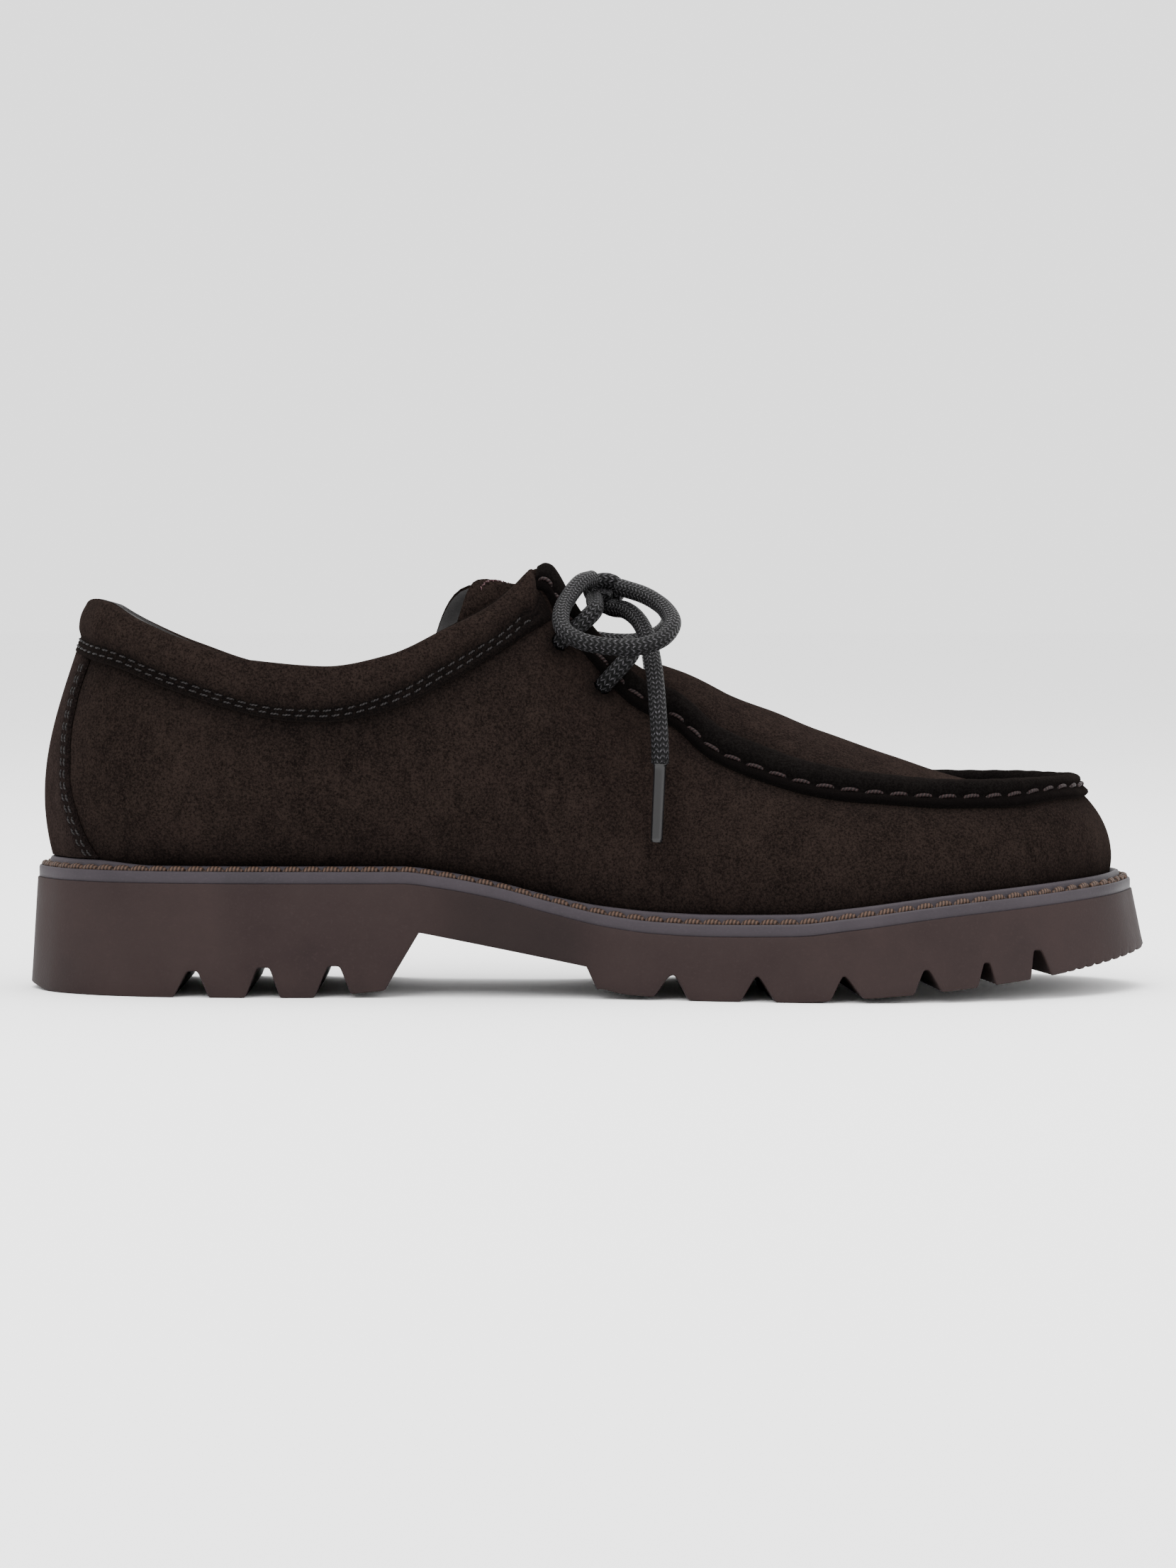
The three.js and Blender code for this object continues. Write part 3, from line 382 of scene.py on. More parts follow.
def on_wall(spot, side):
    """The place on the wall that shows at a point of the side view, found on ever finer grids."""
    aim = np.array([spot[0] * SHOE_LENGTH, spot[1] * THROAT_HEIGHT])
    station, share, width, height = 11.0, 0.85, 2.5, 0.15
    for _ in range(5):
        s, h = np.meshgrid(np.linspace(-width, width, 61) + station, np.linspace(-height, height, 61) + share)
        h = np.minimum(h, 1)
        p = wall(s, side, h)
        best = np.argmin(np.hypot(p[..., 0] - aim[0], p[..., 2] - aim[1]))
        station, share = s.flat[best], h.flat[best]
        width, height = width * 0.15, height * 0.15
    return wall(station, side, share), wall_frame(station, side, share)[0]


# Meshes


def grid_faces(rows, cols, wrap=False, start=0, flip=False):
    r, c = np.meshgrid(np.arange(rows - 1), np.arange(cols if wrap else cols - 1), indexing="ij")
    a, b = r * cols + c, r * cols + (c + 1) % cols
    quads = np.stack([a, b, b + cols, a + cols], -1).reshape(-1, 4) + start
    return quads[:, ::-1] if flip else quads


def grid_part(rows, material=0, **faces):
    """A grid of points as one part of a piece."""
    rows = np.asarray(rows)
    return rows.reshape(-1, 3), grid_faces(*rows.shape[:2], **faces), material


def add_object(name, data, place=(0, 0, 0), aim=None):
    """A new object in the scene, turned towards the aim."""
    obj = bpy.data.objects.new(name, data)
    obj.location = place
    if aim is not None:
        obj.rotation_euler = (Vector(aim) - obj.location).to_track_quat("-Z", "Y").to_euler()
    bpy.context.scene.collection.objects.link(obj)
    return obj


def piece(name, parts, materials, values=None, uv=None, node=()):
    """One mesh object out of parts, each (points, faces, material index). values are named point values."""
    mesh = bpy.data.meshes.new(name)
    points = np.vstack([p for p, _, _ in parts])
    faces, index, start = [], [], 0
    for p, f, m in parts:
        faces += [[v + start for v in face] for face in (f.tolist() if isinstance(f, np.ndarray) else f)]
        index += [m] * len(f)
        start += len(p)
    mesh.from_pydata(((points + SHIFT) * MM).tolist(), [], faces)
    for material in materials:
        mesh.materials.append(material)
    mesh.polygons.foreach_set("material_index", index)
    mesh.polygons.foreach_set("use_smooth", [True] * len(index))
    for key, value in (values or {}).items():
        attribute = mesh.attributes.new(key, "FLOAT", "POINT")
        attribute.data.foreach_set("value", np.asarray(value, np.float32).ravel())
    if uv is not None:
        layer = mesh.uv_layers.new(name="UVMap")
        corners = np.empty(len(mesh.loops), dtype=np.int32)
        mesh.loops.foreach_get("vertex_index", corners)
        layer.data.foreach_set("uv", np.asarray(uv, np.float32)[corners].ravel())
    mesh.validate()
    mesh.update()
    obj = add_object(name, mesh)
    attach(obj, "root")
    if node:
        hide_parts(*node)
    return obj


def between(at, lengths, rows):
    """Points or directions along a polyline, read at places between its own."""
    return np.stack([np.interp(at, lengths, part) for part in rows.T], -1)


def resample(points, step, *more):
    """Points at equal steps along a polyline, with further arrays read at the same places."""
    lengths = run(points)
    at = np.linspace(0, lengths[-1], max(2, int(round(lengths[-1] / step)) + 1))
    return (at, *(between(at, lengths, rows) for rows in (points, *more)))


def curve_through(points, cuts, step=0.6):
    """Points at equal steps along a smooth curve."""
    return resample(catmull_rom(points, np.linspace(0, 1, cuts)), step)[1]


def carried_frames(points):
    """Two directions square to a path, carried along it without twist."""
    ahead = unit(np.gradient(points, axis=0))
    first = np.cross(ahead[0], [0.3, 0.2, 1.0])
    sides = [first / np.linalg.norm(first)]
    for k in range(1, len(points)):
        side = sides[-1] - ahead[k] * np.dot(sides[-1], ahead[k])
        sides.append(side / np.linalg.norm(side))
    side = np.array(sides)
    return side, np.cross(ahead, side)


def tube(points, radius, sides=28, caps=True):
    """A round tube as (points, faces, uv); radius may vary along it."""
    side, up = carried_frames(points)
    radius = np.broadcast_to(radius, len(points))[:, None, None]
    angle = np.linspace(0, 2 * np.pi, sides + 1)
    circle = np.cos(angle)[None, :, None] * side[:, None] + np.sin(angle)[None, :, None] * up[:, None]
    rows = points[:, None] + radius * circle
    uv = np.stack(np.broadcast_arrays((angle / (2 * np.pi))[None], run(points)[:, None]), -1).reshape(-1, 2)
    faces = grid_faces(len(points), sides + 1).tolist()
    if caps:
        last = (len(points) - 1) * (sides + 1)
        faces += [list(range(sides))[::-1], list(range(last, last + sides))]
    return rows.reshape(-1, 3), faces, uv


def stitches(path, normals, pitch, length, radius, sunk=0.35, slant=0.0, start=0.5):
    """Threads laid along a path as (points, faces, uv), each dipping into the surface at both ends."""
    rings, sides = 9, 8
    at, line, out = resample(path, 0.25, normals)
    count = int((at[-1] - start) / pitch)
    t = np.linspace(0, 1, rings)
    places = start + np.arange(count)[:, None] * pitch + t[None] * length
    centre, n = between(places, at, line), unit(between(places, at, unit(out)))
    side = np.cross(n, unit(np.gradient(centre, axis=1)))
    arch = np.sin(np.pi * t) ** 0.4
    centre = centre + n * ((arch - 1) * (radius + sunk) + radius * 0.55)[None, :, None]
    centre = centre + side * ((t - 0.5) * slant)[None, :, None]
    thick = radius * (0.6 + 0.4 * arch)
    angle = np.linspace(0, 2 * np.pi, sides, endpoint=False)
    spin = np.cos(angle)[:, None, None, None] * side + np.sin(angle)[:, None, None, None] * n
    points = np.moveaxis(centre[None] + thick[None, None, :, None] * spin, 0, 2)
    uv = np.stack(np.broadcast_arrays((angle / (2 * np.pi))[None, None], places[:, :, None]), -1)
    size = rings * sides
    faces = np.vstack([grid_faces(rings, sides, wrap=True, start=k * size) for k in range(count)]).tolist()
    for base in range(0, count * size, size):
        faces.append(list(range(base, base + sides))[::-1])
        faces.append(list(range(base + size - sides, base + size)))
    return points.reshape(-1, 3), faces, uv.reshape(-1, 2)


def sew(name, thread, slot, *rows):
    """One piece out of rows of stitches."""
    parts = [(points, faces, 0) for points, faces, _ in rows]
    piece(name, parts, [thread], uv=np.vstack([uv for _, _, uv in rows]))


# Materials


def linear(srgb):
    return tuple((c / 255 / 12.92 if c <= 10 else ((c / 255 + 0.055) / 1.055) ** 2.4) for c in srgb) + (1.0,)


class Shader:
    """A material's node tree, built by short calls."""

    def __init__(self, name):
        self.material = bpy.data.materials.new(name)
        self.material.use_nodes = True
        self.tree = self.material.node_tree
        self.shader = self.tree.nodes["Principled BSDF"]
        self.place = self.node("ShaderNodeTexCoord").outputs["Object"]

    def node(self, kind, **settings):
        made = self.tree.nodes.new(kind)
        for key, value in settings.items():
            setattr(made, key, value)
        return made

    def link(self, value, socket):
        """Join two sockets, or set one: to a number, an sRGB colour of 0 to 255 or a linear RGBA one."""
        if isinstance(value, bpy.types.NodeSocket):
            self.tree.links.new(value, socket)
        else:
            is_srgb = isinstance(value, tuple) and len(value) == 3
            socket.default_value = linear(value) if is_srgb else value

    def noise(self, scale, detail=3.0, roughness=0.55, at=None, distortion=0.0):
        made = self.node("ShaderNodeTexNoise")
        self.link(at or self.place, made.inputs["Vector"])
        fixed = {"Scale": scale, "Detail": detail, "Roughness": roughness, "Distortion": distortion}
        for key, value in fixed.items():
            made.inputs[key].default_value = value
        return made.outputs["Fac"]

    def stretched(self, x, y, z):
        made = self.node("ShaderNodeMapping")
        self.link(self.place, made.inputs["Vector"])
        made.inputs["Scale"].default_value = (x, y, z)
        return made.outputs["Vector"]

    def maths(self, operation, *values):
        made = self.node("ShaderNodeMath", operation=operation)
        for socket, value in zip(made.inputs, values):
            self.link(value, socket)
        return made.outputs[0]

    def plus(self, a, b):
        return self.maths("ADD", a, b)

    def times(self, a, b):
        return self.maths("MULTIPLY", a, b)

    def range(self, value, *limits):
        """The value's share of the way from low to high, as 0 to 1 or between two further limits."""
        made = self.node("ShaderNodeMapRange")
        for key, v in zip(("Value", "From Min", "From Max", "To Min", "To Max"), (value, *limits)):
            self.link(v, made.inputs[key])
        return made.outputs["Result"]

    def mix(self, share, a, b):
        made = self.node("ShaderNodeMix", data_type="RGBA")
        for socket, value in ((made.inputs[0], share), (made.inputs[6], a), (made.inputs[7], b)):
            self.link(value, socket)
        return made.outputs[2]

    def value(self, name):
        return self.node("ShaderNodeAttribute", attribute_name=name).outputs["Fac"]

    def uv(self):
        split = self.node("ShaderNodeSeparateXYZ")
        self.link(self.node("ShaderNodeUVMap", uv_map="UVMap").outputs["UV"], split.inputs[0])
        return split.outputs["X"], split.outputs["Y"]

    def bump(self, height, strength, distance, before=None):
        made = self.node("ShaderNodeBump")
        self.link(height, made.inputs["Height"])
        made.inputs["Strength"].default_value = strength
        made.inputs["Distance"].default_value = distance
        if before is not None:
            self.link(before, made.inputs["Normal"])
        return made.outputs["Normal"]

    def finish(self, colour, roughness, normal, **fixed):
        self.link(colour, self.shader.inputs["Base Color"])
        self.link(roughness, self.shader.inputs["Roughness"])
        self.link(normal, self.shader.inputs["Normal"])
        for key, value in fixed.items():
            self.shader.inputs[key.replace("_", " ").title().replace("Ior", "IOR")].default_value = value
        return self.material


def suede(name, deep, dark, light, burnish_and_shade_colour, patch=0.4):
    """Brushed nap: fine fibre specks over soft patches, darkened by the mesh's dark value: along the seams,
    and as painted shade under and beside raised parts.
    """
    s = Shader(name)
    patches = s.noise(42, 4.0, 0.55, distortion=0.5)
    strokes = s.noise(240, 5.0, 0.7, at=s.stretched(1, 1, 0.6), distortion=0.5)
    nap = s.noise(1500, 3.0, 0.7)
    fibre = s.noise(2600, 3.0, 0.7)
    tone = s.plus(s.times(patches, patch), s.times(strokes, 1.0 - patch))
    speck = s.plus(s.times(nap, 0.6), s.times(fibre, 0.4))
    ground = s.mix(s.range(tone, 0.32, 0.7), dark, light)
    ground = s.mix(s.range(speck, 0.53, 0.38, 0.0, 0.75), ground, deep)
    ground = s.mix(s.range(speck, 0.5, 0.64, 0.0, 0.8), ground, light)
    # The dark colour comes in by the mesh's value: seam colour and painted shade together.
    ground = s.mix(s.times(s.value("BurnishAndShade"), s.range(speck, 0.42, 0.62, 1.0, 0.72)), ground, burnish_and_shade_colour)
    normal = s.bump(strokes, 0.18, 0.0012, s.bump(speck, 0.55, 0.0006))
    sheen = {"sheen_weight": 0.014, "sheen_roughness": 0.45, "sheen_tint": (1.0, 0.78, 0.7, 1)}
    return s.finish(ground, 0.95, normal, **sheen, specular_ior_level=0.0)


def rubber(name, dark, light, gloss):
    """Moulded rubber: cloudy, finely grained, with a few lighter scuffs, and painted shade where the mesh's
    dark value says.
    """
    s = Shader(name)
    cloud = s.noise(38, 5.0, 0.6)
    grain = s.noise(1400, 2.0, 0.5)
    scuff = s.noise(160, 6.0, 0.7, at=s.stretched(0.5, 1, 1.6))
    colour = s.mix(s.range(cloud, 0.2, 0.8), dark, light)
    colour = s.mix(s.range(grain, 0.55, 0.75, 0.0, 0.5), colour, light)
    colour = s.mix(s.range(scuff, 0.62, 0.78, 0.0, 0.25), colour, light)
    # Painted shade from the mesh's value, in a dark brown.
    colour = s.mix(s.value("BurnishAndShade"), colour, (17, 13, 13))
    normal = s.bump(scuff, 0.10, 0.0006, s.bump(grain, 0.16, 0.0003))
    rough = s.range(cloud, 0.3, 0.7, gloss - 0.06, gloss + 0.08)
    return s.finish(colour, rough, normal, specular_ior_level=0.07)


def lining(name, dark, light):
    """Smooth leather with pores and soft folds."""
    s = Shader(name)
    pores = s.noise(1700, 3.0, 0.6)
    folds = s.noise(45, 3.0, 0.5)
    colour = s.mix(s.range(folds, 0.2, 0.8), dark, light)
    normal = s.bump(folds, 0.25, 0.002, s.bump(pores, 0.2, 0.0004))
    return s.finish(colour, s.range(folds, 0.3, 0.7, 0.5, 0.68), normal, specular_ior_level=0.4)


def braid(name, deep, dark, light):
    """Round braid: rows of chevrons along the lace, waxed on their crests, with painted shade in the grooves
    and painted highlights on the crests.
    """
    s = Shader(name)
    u, v = s.uv()
    fold = s.maths("PINGPONG", s.times(u, 16.0), 1.0)
    slope = s.times(fold, 0.62)
    along = s.times(v, 0.68)
    phase = s.times(s.plus(along, slope), 2 * math.pi)
    yarn = s.maths("MULTIPLY_ADD", s.maths("SINE", phase), 0.5, 0.5)
    edge = s.times(s.maths("ABSOLUTE", s.maths("SUBTRACT", fold, 0.5)), 2.0)
    height = s.maths("SUBTRACT", s.maths("POWER", yarn, 0.6), s.times(s.maths("POWER", edge, 6.0), 0.7))
    ply = s.maths("SINE", s.times(s.maths("SUBTRACT", along, slope), 26.0))
    height = s.plus(height, s.times(ply, 0.05))
    fuzz = s.noise(2600, 2.0, 0.6)
    # Painted shade: the grooves take the deepest colour; painted highlight: specks on the crests take the
    # light one.
    colour = s.mix(s.range(height, -0.1, 0.75), deep, dark)
    colour = s.mix(s.range(s.times(height, fuzz), 0.38, 0.62), colour, light)
    normal = s.bump(fuzz, 0.2, 0.0003, s.bump(height, 0.85, 0.0005))
    return s.finish(colour, s.range(height, 0.0, 0.9, 0.7, 0.42), normal, specular_ior_level=0.12)


def thread(name, dark, light):
    """Twisted thread: slanting plies across each stitch."""
    s = Shader(name)
    u, v = s.uv()
    ply = s.maths("SINE", s.times(s.plus(v, u), 2 * math.pi))
    fuzz = s.noise(3000, 2.0, 0.6)
    colour = s.mix(s.range(s.plus(ply, fuzz), -0.4, 1.3), dark, light)
    normal = s.bump(fuzz, 0.3, 0.0003, s.bump(ply, 0.5, 0.0003))
    return s.finish(colour, 0.55, normal, specular_ior_level=0.12)


def tip_plastic(name, dark, light):
    """Clouded plastic with the line where its sleeve is rolled shut."""
    s = Shader(name)
    u, _ = s.uv()
    line = s.maths("ABSOLUTE", s.maths("SUBTRACT", s.maths("PINGPONG", s.times(u, 2.0), 1.0), 0.5))
    cloud = s.noise(240, 4.0, 0.6, at=s.stretched(1, 1, 0.15))
    colour = s.mix(s.range(cloud, 0.35, 0.7), dark, light)
    colour = s.mix(s.range(line, 0.0, 0.05, 0.5, 0.0), colour, dark)
    normal = s.bump(cloud, 0.25, 0.0006)
    return s.finish(colour, 0.35, normal, specular_ior_level=0.3, coat_weight=0.12, coat_roughness=0.1)


# Each suede's last colour is its seam dark, also used as painted shade.
SUEDE = suede("suede", (5, 4, 4), (16, 12, 11), (35, 28, 25), (7, 6, 6))
SUEDE_SEAM = suede("suede_seam", (4, 3, 3), (9, 8, 8), (20, 18, 17), (6, 5, 5), 0.3)
SUEDE_STRIP = suede("suede_strip", (8, 6, 6), (21, 16, 15), (38, 31, 29), (6, 5, 5))
SOLE = rubber("sole_rubber", (32, 24, 24), (43, 34, 33), 0.62)
WELT = rubber("welt_rubber", (40, 37, 40), (54, 49, 53), 0.5)
LINING = lining("lining", (49, 48, 48), (70, 68, 68))
# The lace's black is painted shade in the braid's grooves, its pale grey painted highlights on the crests.
LACE = braid("lace", (0, 0, 0), (6, 6, 7), (66, 64, 67))
TIP = tip_plastic("lace_tip", (6, 5, 6), (17, 16, 18))
THREAD_SEAM = thread("thread_seam", (16, 11, 11), (40, 29, 29))
THREAD_WELT = thread("thread_welt", (30, 22, 18), (74, 57, 48))
THREAD_BAND = thread("thread_band", (12, 10, 10), (38, 35, 35))
THREAD_PINK = thread("thread_pink", (40, 26, 28), (80, 58, 60))


# Outsole and welt


def tread(x, y):
    """Height of the underside: heel, waist, rocker and the grooves across it, with worn-in edges."""
    share = x / SHOE_LENGTH
    hollow = np.interp(share, WAIST["along"], WAIST["height"]) * HEEL_HEIGHT
    base = np.where(share < WAIST["along"][-1], hollow, rocker(x))
    base = np.where(share < WAIST["along"][0], 0, base)
    crown_sharp, mouth_sharp, level = 2.2, 3.0, 15
    for row in each(GROOVES):
        middle, mouth, crown = row["along"] * SHOE_LENGTH, row["mouth"] / 2, row["crown"] / 2
        floor = rocker(np.array([middle]))[0] if middle > 0 else 0.0
        shifted = x - TREAD_SPLAY * row["splay"] * (np.abs(y) - GROOVE_EDGE * BALL_WIDTH)
        left = (shifted - (middle - mouth)) * row["rise"] / (row["shift"] - crown + mouth)
        right = ((middle + mouth) - shifted) * row["rise"] / (mouth - row["shift"] - crown)
        flanks = np.exp(-crown_sharp * np.clip(np.minimum(left, right), -8, 20))
        roof = -np.log(flanks + np.exp(-crown_sharp * (row["rise"] + 0.25))) / crown_sharp
        rise = np.clip(roof + floor, -6, 30)
        base = np.log(sum(np.exp(mouth_sharp * (z - level)) for z in (base, rise))) / mouth_sharp + level
    # Fine ribs under the toe's tip.
    ripple = 1 - np.abs(np.sin(np.pi * (x - 128.3) / 2.64))
    return base + 0.75 * ripple**2 * smoothstep(x, 127.5, 129.5)


def heel_round(x):
    """How far the underside rises towards the back of the heel."""
    return 1.5 * smoothstep(x, -146.0, -153.5)


def outsole():
    sides, cuts_across = 1600, 41
    low_round, top_round = 0.55, 0.25
    flat, inward = outline_at(np.arange(sides) / sides)
    flare = SOLE_FLARE + TOE_SETBACK * toe_share(flat[:, 0])
    top = rubber_top(flat[:, 0])
    floor = rocker(flat[:, 0]) * (flat[:, 0] > 0)

    def at(height, inset=0.0, rise=0.0):
        """The leaning side at a height, set in and raised by the rounding of an edge."""
        inset = flare * np.clip((height - floor) / (top - floor), 0, 1) + inset
        return np.column_stack([flat + inward * inset[:, None], height + rise])

    low = tread(flat[:, 0], flat[:, 1])
    for _ in range(2):
        edge = at(low)
        low = tread(edge[:, 0], edge[:, 1])
    low = low + heel_round(flat[:, 0])
    bottom, upper_end = low + low_round, top - top_round
    rows = []
    for angle in np.radians([90, 68, 45, 22, 0]):
        rows.append(at(low, low_round * (1 - math.cos(angle)), low_round * (1 - math.sin(angle))))
    rows += [at(bottom + (upper_end - bottom) * t) for t in (0.12, 0.3, 0.5, 0.7, 0.88)]
    for angle in np.radians([0, 45, 90]):
        rows.append(at(upper_end + top_round * math.sin(angle), top_round * (1 - math.cos(angle))))
    rows.append(at(top, 12))
    left, right = rows[0][1 : sides // 2], rows[0][: sides // 2 : -1]
    t = np.linspace(0, 1, cuts_across)[:, None, None]
    under = left[None] * (1 - t) + right[None] * t
    under[1:-1, :, 2] = (tread(under[..., 0], under[..., 1]) + heel_round(under[..., 0]))[1:-1]
    parts = [grid_part(rows, wrap=True), grid_part(under)]
    x = np.concatenate([part[0][:, 0] for part in parts])
    # Painted shade across the sole's waist.
    burnish_and_shade = 0.45 * smoothstep(x, -52, -30) * (1 - smoothstep(x, -12, 12))
    piece("sole", parts, [SOLE], {"BurnishAndShade": burnish_and_shade}, node=["outsole"])


def lower_bead(x, height):
    """The bead stands lower along the heel's sides and the waist."""
    low = smoothstep(x, -134, -116) * (1 - smoothstep(x, -20, 20))
    return height - 0.5 * low * max(height - 3, 0)


def welt():
    sides = 1100
    share = np.arange(sides + 1) / sides
    inner = UPPER_INSET - CLEARANCE
    bead = inner - math.tan(math.radians(25)) * BEAD_HEIGHT - BEAD_WIDTH
    middle = (WELT_INSET + bead) / 2 + 0.35
    # Edge, channel for the stitches, bead: places set in from the outline, and heights.
    profile = [
        (WELT_INSET + 3, -0.28), (WELT_INSET + 0.1, -0.3), (WELT_INSET, -0.2), (WELT_INSET - 0.02, 1.3),
        (WELT_INSET, 2.35), (WELT_INSET + 0.18, 2.8), (WELT_INSET + 0.55, 2.95), (middle - 0.95, 2.9),
        (middle - 0.75, 2.75), (middle - 0.6, 2.6), (middle, 2.5), (middle + 0.6, 2.6), (middle + 0.72, 2.8),
        (bead - 0.05, 2.95), (bead + 0.15, 3.3), (bead + 0.3, 4.6), (bead + 0.6, 5.2), (bead + 1.15, 5.4),
        (bead + 1.65, 5.2), (inner - 0.3, 4.3), (inner, 2.6), (inner, 0.4),
    ]

    def round_welt(inset, height, share):
        return ring(inset, lambda x: rubber_top(x) + CLEARANCE + lower_bead(x, height), share)

    rows = [round_welt(inset, height, share[:-1]) for inset, height in profile]
    piece("welt_edge", [grid_part(rows, wrap=True)], [WELT], node=["welt"])
    line = round_welt(middle, 2.85, share)
    up = np.tile(UP, (len(line), 1))
    rope = stitches(line, up, pitch=5.2, length=5.15, radius=0.95, sunk=0.0, slant=0.9)
    sew("welt_stitches", THREAD_WELT, "welt_rubber", rope)


# Upper

# Soft creases: side, place, half length and direction in degrees, half width, depth.
CREASES = table(
    "side x z angle length width depth",
    [
        (-1, -74, 62, 20, 26, 7, 0.5), (-1, -48, 73, 32, 22, 5, 0.35), (-1, -100, 55, -35, 22, 8, 0.45),
        (-1, 22, 60, -30, 22, 6, 0.4), (-1, 46, 46, -18, 24, 5, 0.35), (-1, 78, 40, -8, 22, 5, 0.25),
        (-1, -20, 78, 48, 18, 5, 0.3), (-1, 112, 42, 5, 15, 6, 0.25), (-1, -126, 60, 75, 18, 6, 0.35),
        (1, -70, 60, 18, 26, 7, 0.5), (1, -44, 72, 34, 20, 5, 0.35), (1, -98, 56, -30, 24, 8, 0.45),
        (1, 26, 58, -28, 24, 6, 0.4), (1, 60, 42, -14, 24, 5, 0.3), (1, 105, 42, 4, 15, 6, 0.25),
    ],
)


def creased(points, side):
    """How far the soft creases pull the leather in."""
    depth = np.zeros(points.shape[:-1])
    for row in each(CREASES):
        angle, width = math.radians(row["angle"]), row["width"]
        dx, dz = points[..., 0] - row["x"], points[..., 2] - row["z"]
        along = dx * math.cos(angle) + dz * math.sin(angle)
        off = -dx * math.sin(angle) + dz * math.cos(angle)
        off = off - 0.08 * along**2 / row["length"]
        ends = hump(along, 0, row["length"])
        dent, swell = ends * hump(off, 0, width), ends * hump(off, 1.6 * width, width)
        depth = depth + (side == row["side"]) * row["depth"] * (dent - 0.6 * swell)
    return depth


def ring_places(split, start=0.0):
    """Stations round the shoe from the outer side's start to the toe and back on the inner side."""
    steps = np.arange(round(start * split), LAST * split + 1) / split
    back = steps[::-1] if start > 0 else steps[:0:-1]
    return np.concatenate([steps, back]), np.repeat([-1, 1], [len(steps), len(back)])


def band_low(x):
    return THROAT_HEIGHT * read(BAND, "height", x / SHOE_LENGTH)


def burnish_and_shade_on_wall(points, station, side, share):
    """Where the nap is darkened: along the raised seam and round the holes as seam colour with painted shade,
    and below the collar band and towards the welt as painted shade.
    """
    length = reach(station, side)
    seam = fade((1 - share) * length - 4.6, 4.5) * smoothstep(station, FACING_TOP + 0.6, FACING_TOP + 2)
    # Below the collar band, and in the next line towards the welt: painted shade.
    band = fade(band_low(points[..., 0]) - points[..., 2], 4.0) * (1 - smoothstep(points[..., 0], -24, -4))
    burnish_and_shade = 1 - (1 - 0.5 * seam) * (1 - 0.75 * band) * (1 - 0.85 * fade(share * length, 5.5))
    for x, z in HOLES.values():
        away = np.hypot(points[..., 0] - x * SHOE_LENGTH, points[..., 2] - z * THROAT_HEIGHT)
        burnish_and_shade = 1 - (1 - burnish_and_shade) * (1 - 0.8 * fade(away - LACE_HOLE_RADIUS, 1.6))
    return burnish_and_shade


def raised(points):
    """The points with the facing's top corner pulled up a little."""
    rise = 1.6 * hump(points[..., 0], -11.5, 6.5) * smoothstep(points[..., 2], 99, 112)
    return points + rise[..., None] * UP


def punched(points, faces):
    """Lace holes: which faces stay, once the points near a hole are pulled to its edge, and the rims."""
    keep = np.ones(len(faces), bool)
    rims = []
    for spot in HOLES.values():
        for side in (-1, 1):
            centre, axis = on_wall(spot, side)
            offset = points - centre
            height = offset @ axis
            radial = offset - height[:, None] * axis
            far = np.linalg.norm(radial, axis=1)
            near = (far < LACE_HOLE_RADIUS) & (np.abs(height) < 5)
            keep &= ~near[faces].all(axis=1)
            pull = near & (far > 0)
            points[pull] += radial[pull] / far[pull][:, None] * (LACE_HOLE_RADIUS - far[pull])[:, None]
            steps = centre - axis * np.linspace(-0.05, UPPER_WALL, 4)[:, None]
            rims.append((*tube(steps, LACE_HOLE_RADIUS, 32, caps=False)[:2], 0))
    return keep, rims


def upper():
    station, side = ring_places(14)
    share = np.concatenate([np.linspace(0, 0.9, 44)[:-1], np.linspace(0.9, 1, 12)])[:, None]
    outer = wall(station, side, share)
    burnish_and_shade = burnish_and_shade_on_wall(outer, station, side, share)
    pinch = 0.7 * hump(share * reach(station, side), 0, 3.0)
    outer = outer - wall_frame(station, side, share)[0] * (creased(outer, side) + pinch * 0.4)[..., None]
    inner_share = np.linspace(1, 0, 26)[:, None]
    inner = wall(station, side, inner_share) - wall_frame(station, side, inner_share)[0] * UPPER_WALL
    rows = raised(np.concatenate([outer, inner]))
    burnish_and_shade = np.concatenate([burnish_and_shade, np.full(inner.shape[:2], 0.5)]).ravel()
    points, faces, _ = grid_part(rows, wrap=True)
    keep, rims = punched(points, faces)
    inside = np.repeat(np.arange(len(rows) - 1) >= len(share), len(station))
    parts = [(points, faces[keep & ~inside], 0), (points, faces[keep & inside], 1), *rims]
    # The holes' rims get the full dark: painted shade inside the holes.
    burnish_and_shade = np.concatenate([burnish_and_shade, burnish_and_shade, np.ones(sum(len(rim[0]) for rim in rims))])
    piece("quarters_and_vamp", parts, [SUEDE, LINING], {"BurnishAndShade": burnish_and_shade}, node=["upper"])


def apron():
    """The sheet inside the raised seam, with its lining side and its edge."""
    station, side = ring_places(14, APRON_START)
    share = np.linspace(0, 1, 34)[:, None]
    top = across(station, side, share, "crown")
    edge = np.concatenate([top[:, 0], top[::-1, -1]])
    down = UP * UPPER_WALL
    rim = grid_part([edge, edge - down], flip=True)
    # Darker beside the raised seam: seam colour and painted shade.
    burnish_and_shade = 0.9 * fade(share * half_width(station, side) - 4.0, 3.2).ravel()
    burnish_and_shade = np.concatenate([burnish_and_shade, burnish_and_shade, np.full(len(rim[0]), 0.8)])
    parts = [grid_part(top), grid_part(top - down, 1, flip=True), rim]
    piece("apron", parts, [SUEDE, LINING], {"BurnishAndShade": burnish_and_shade})


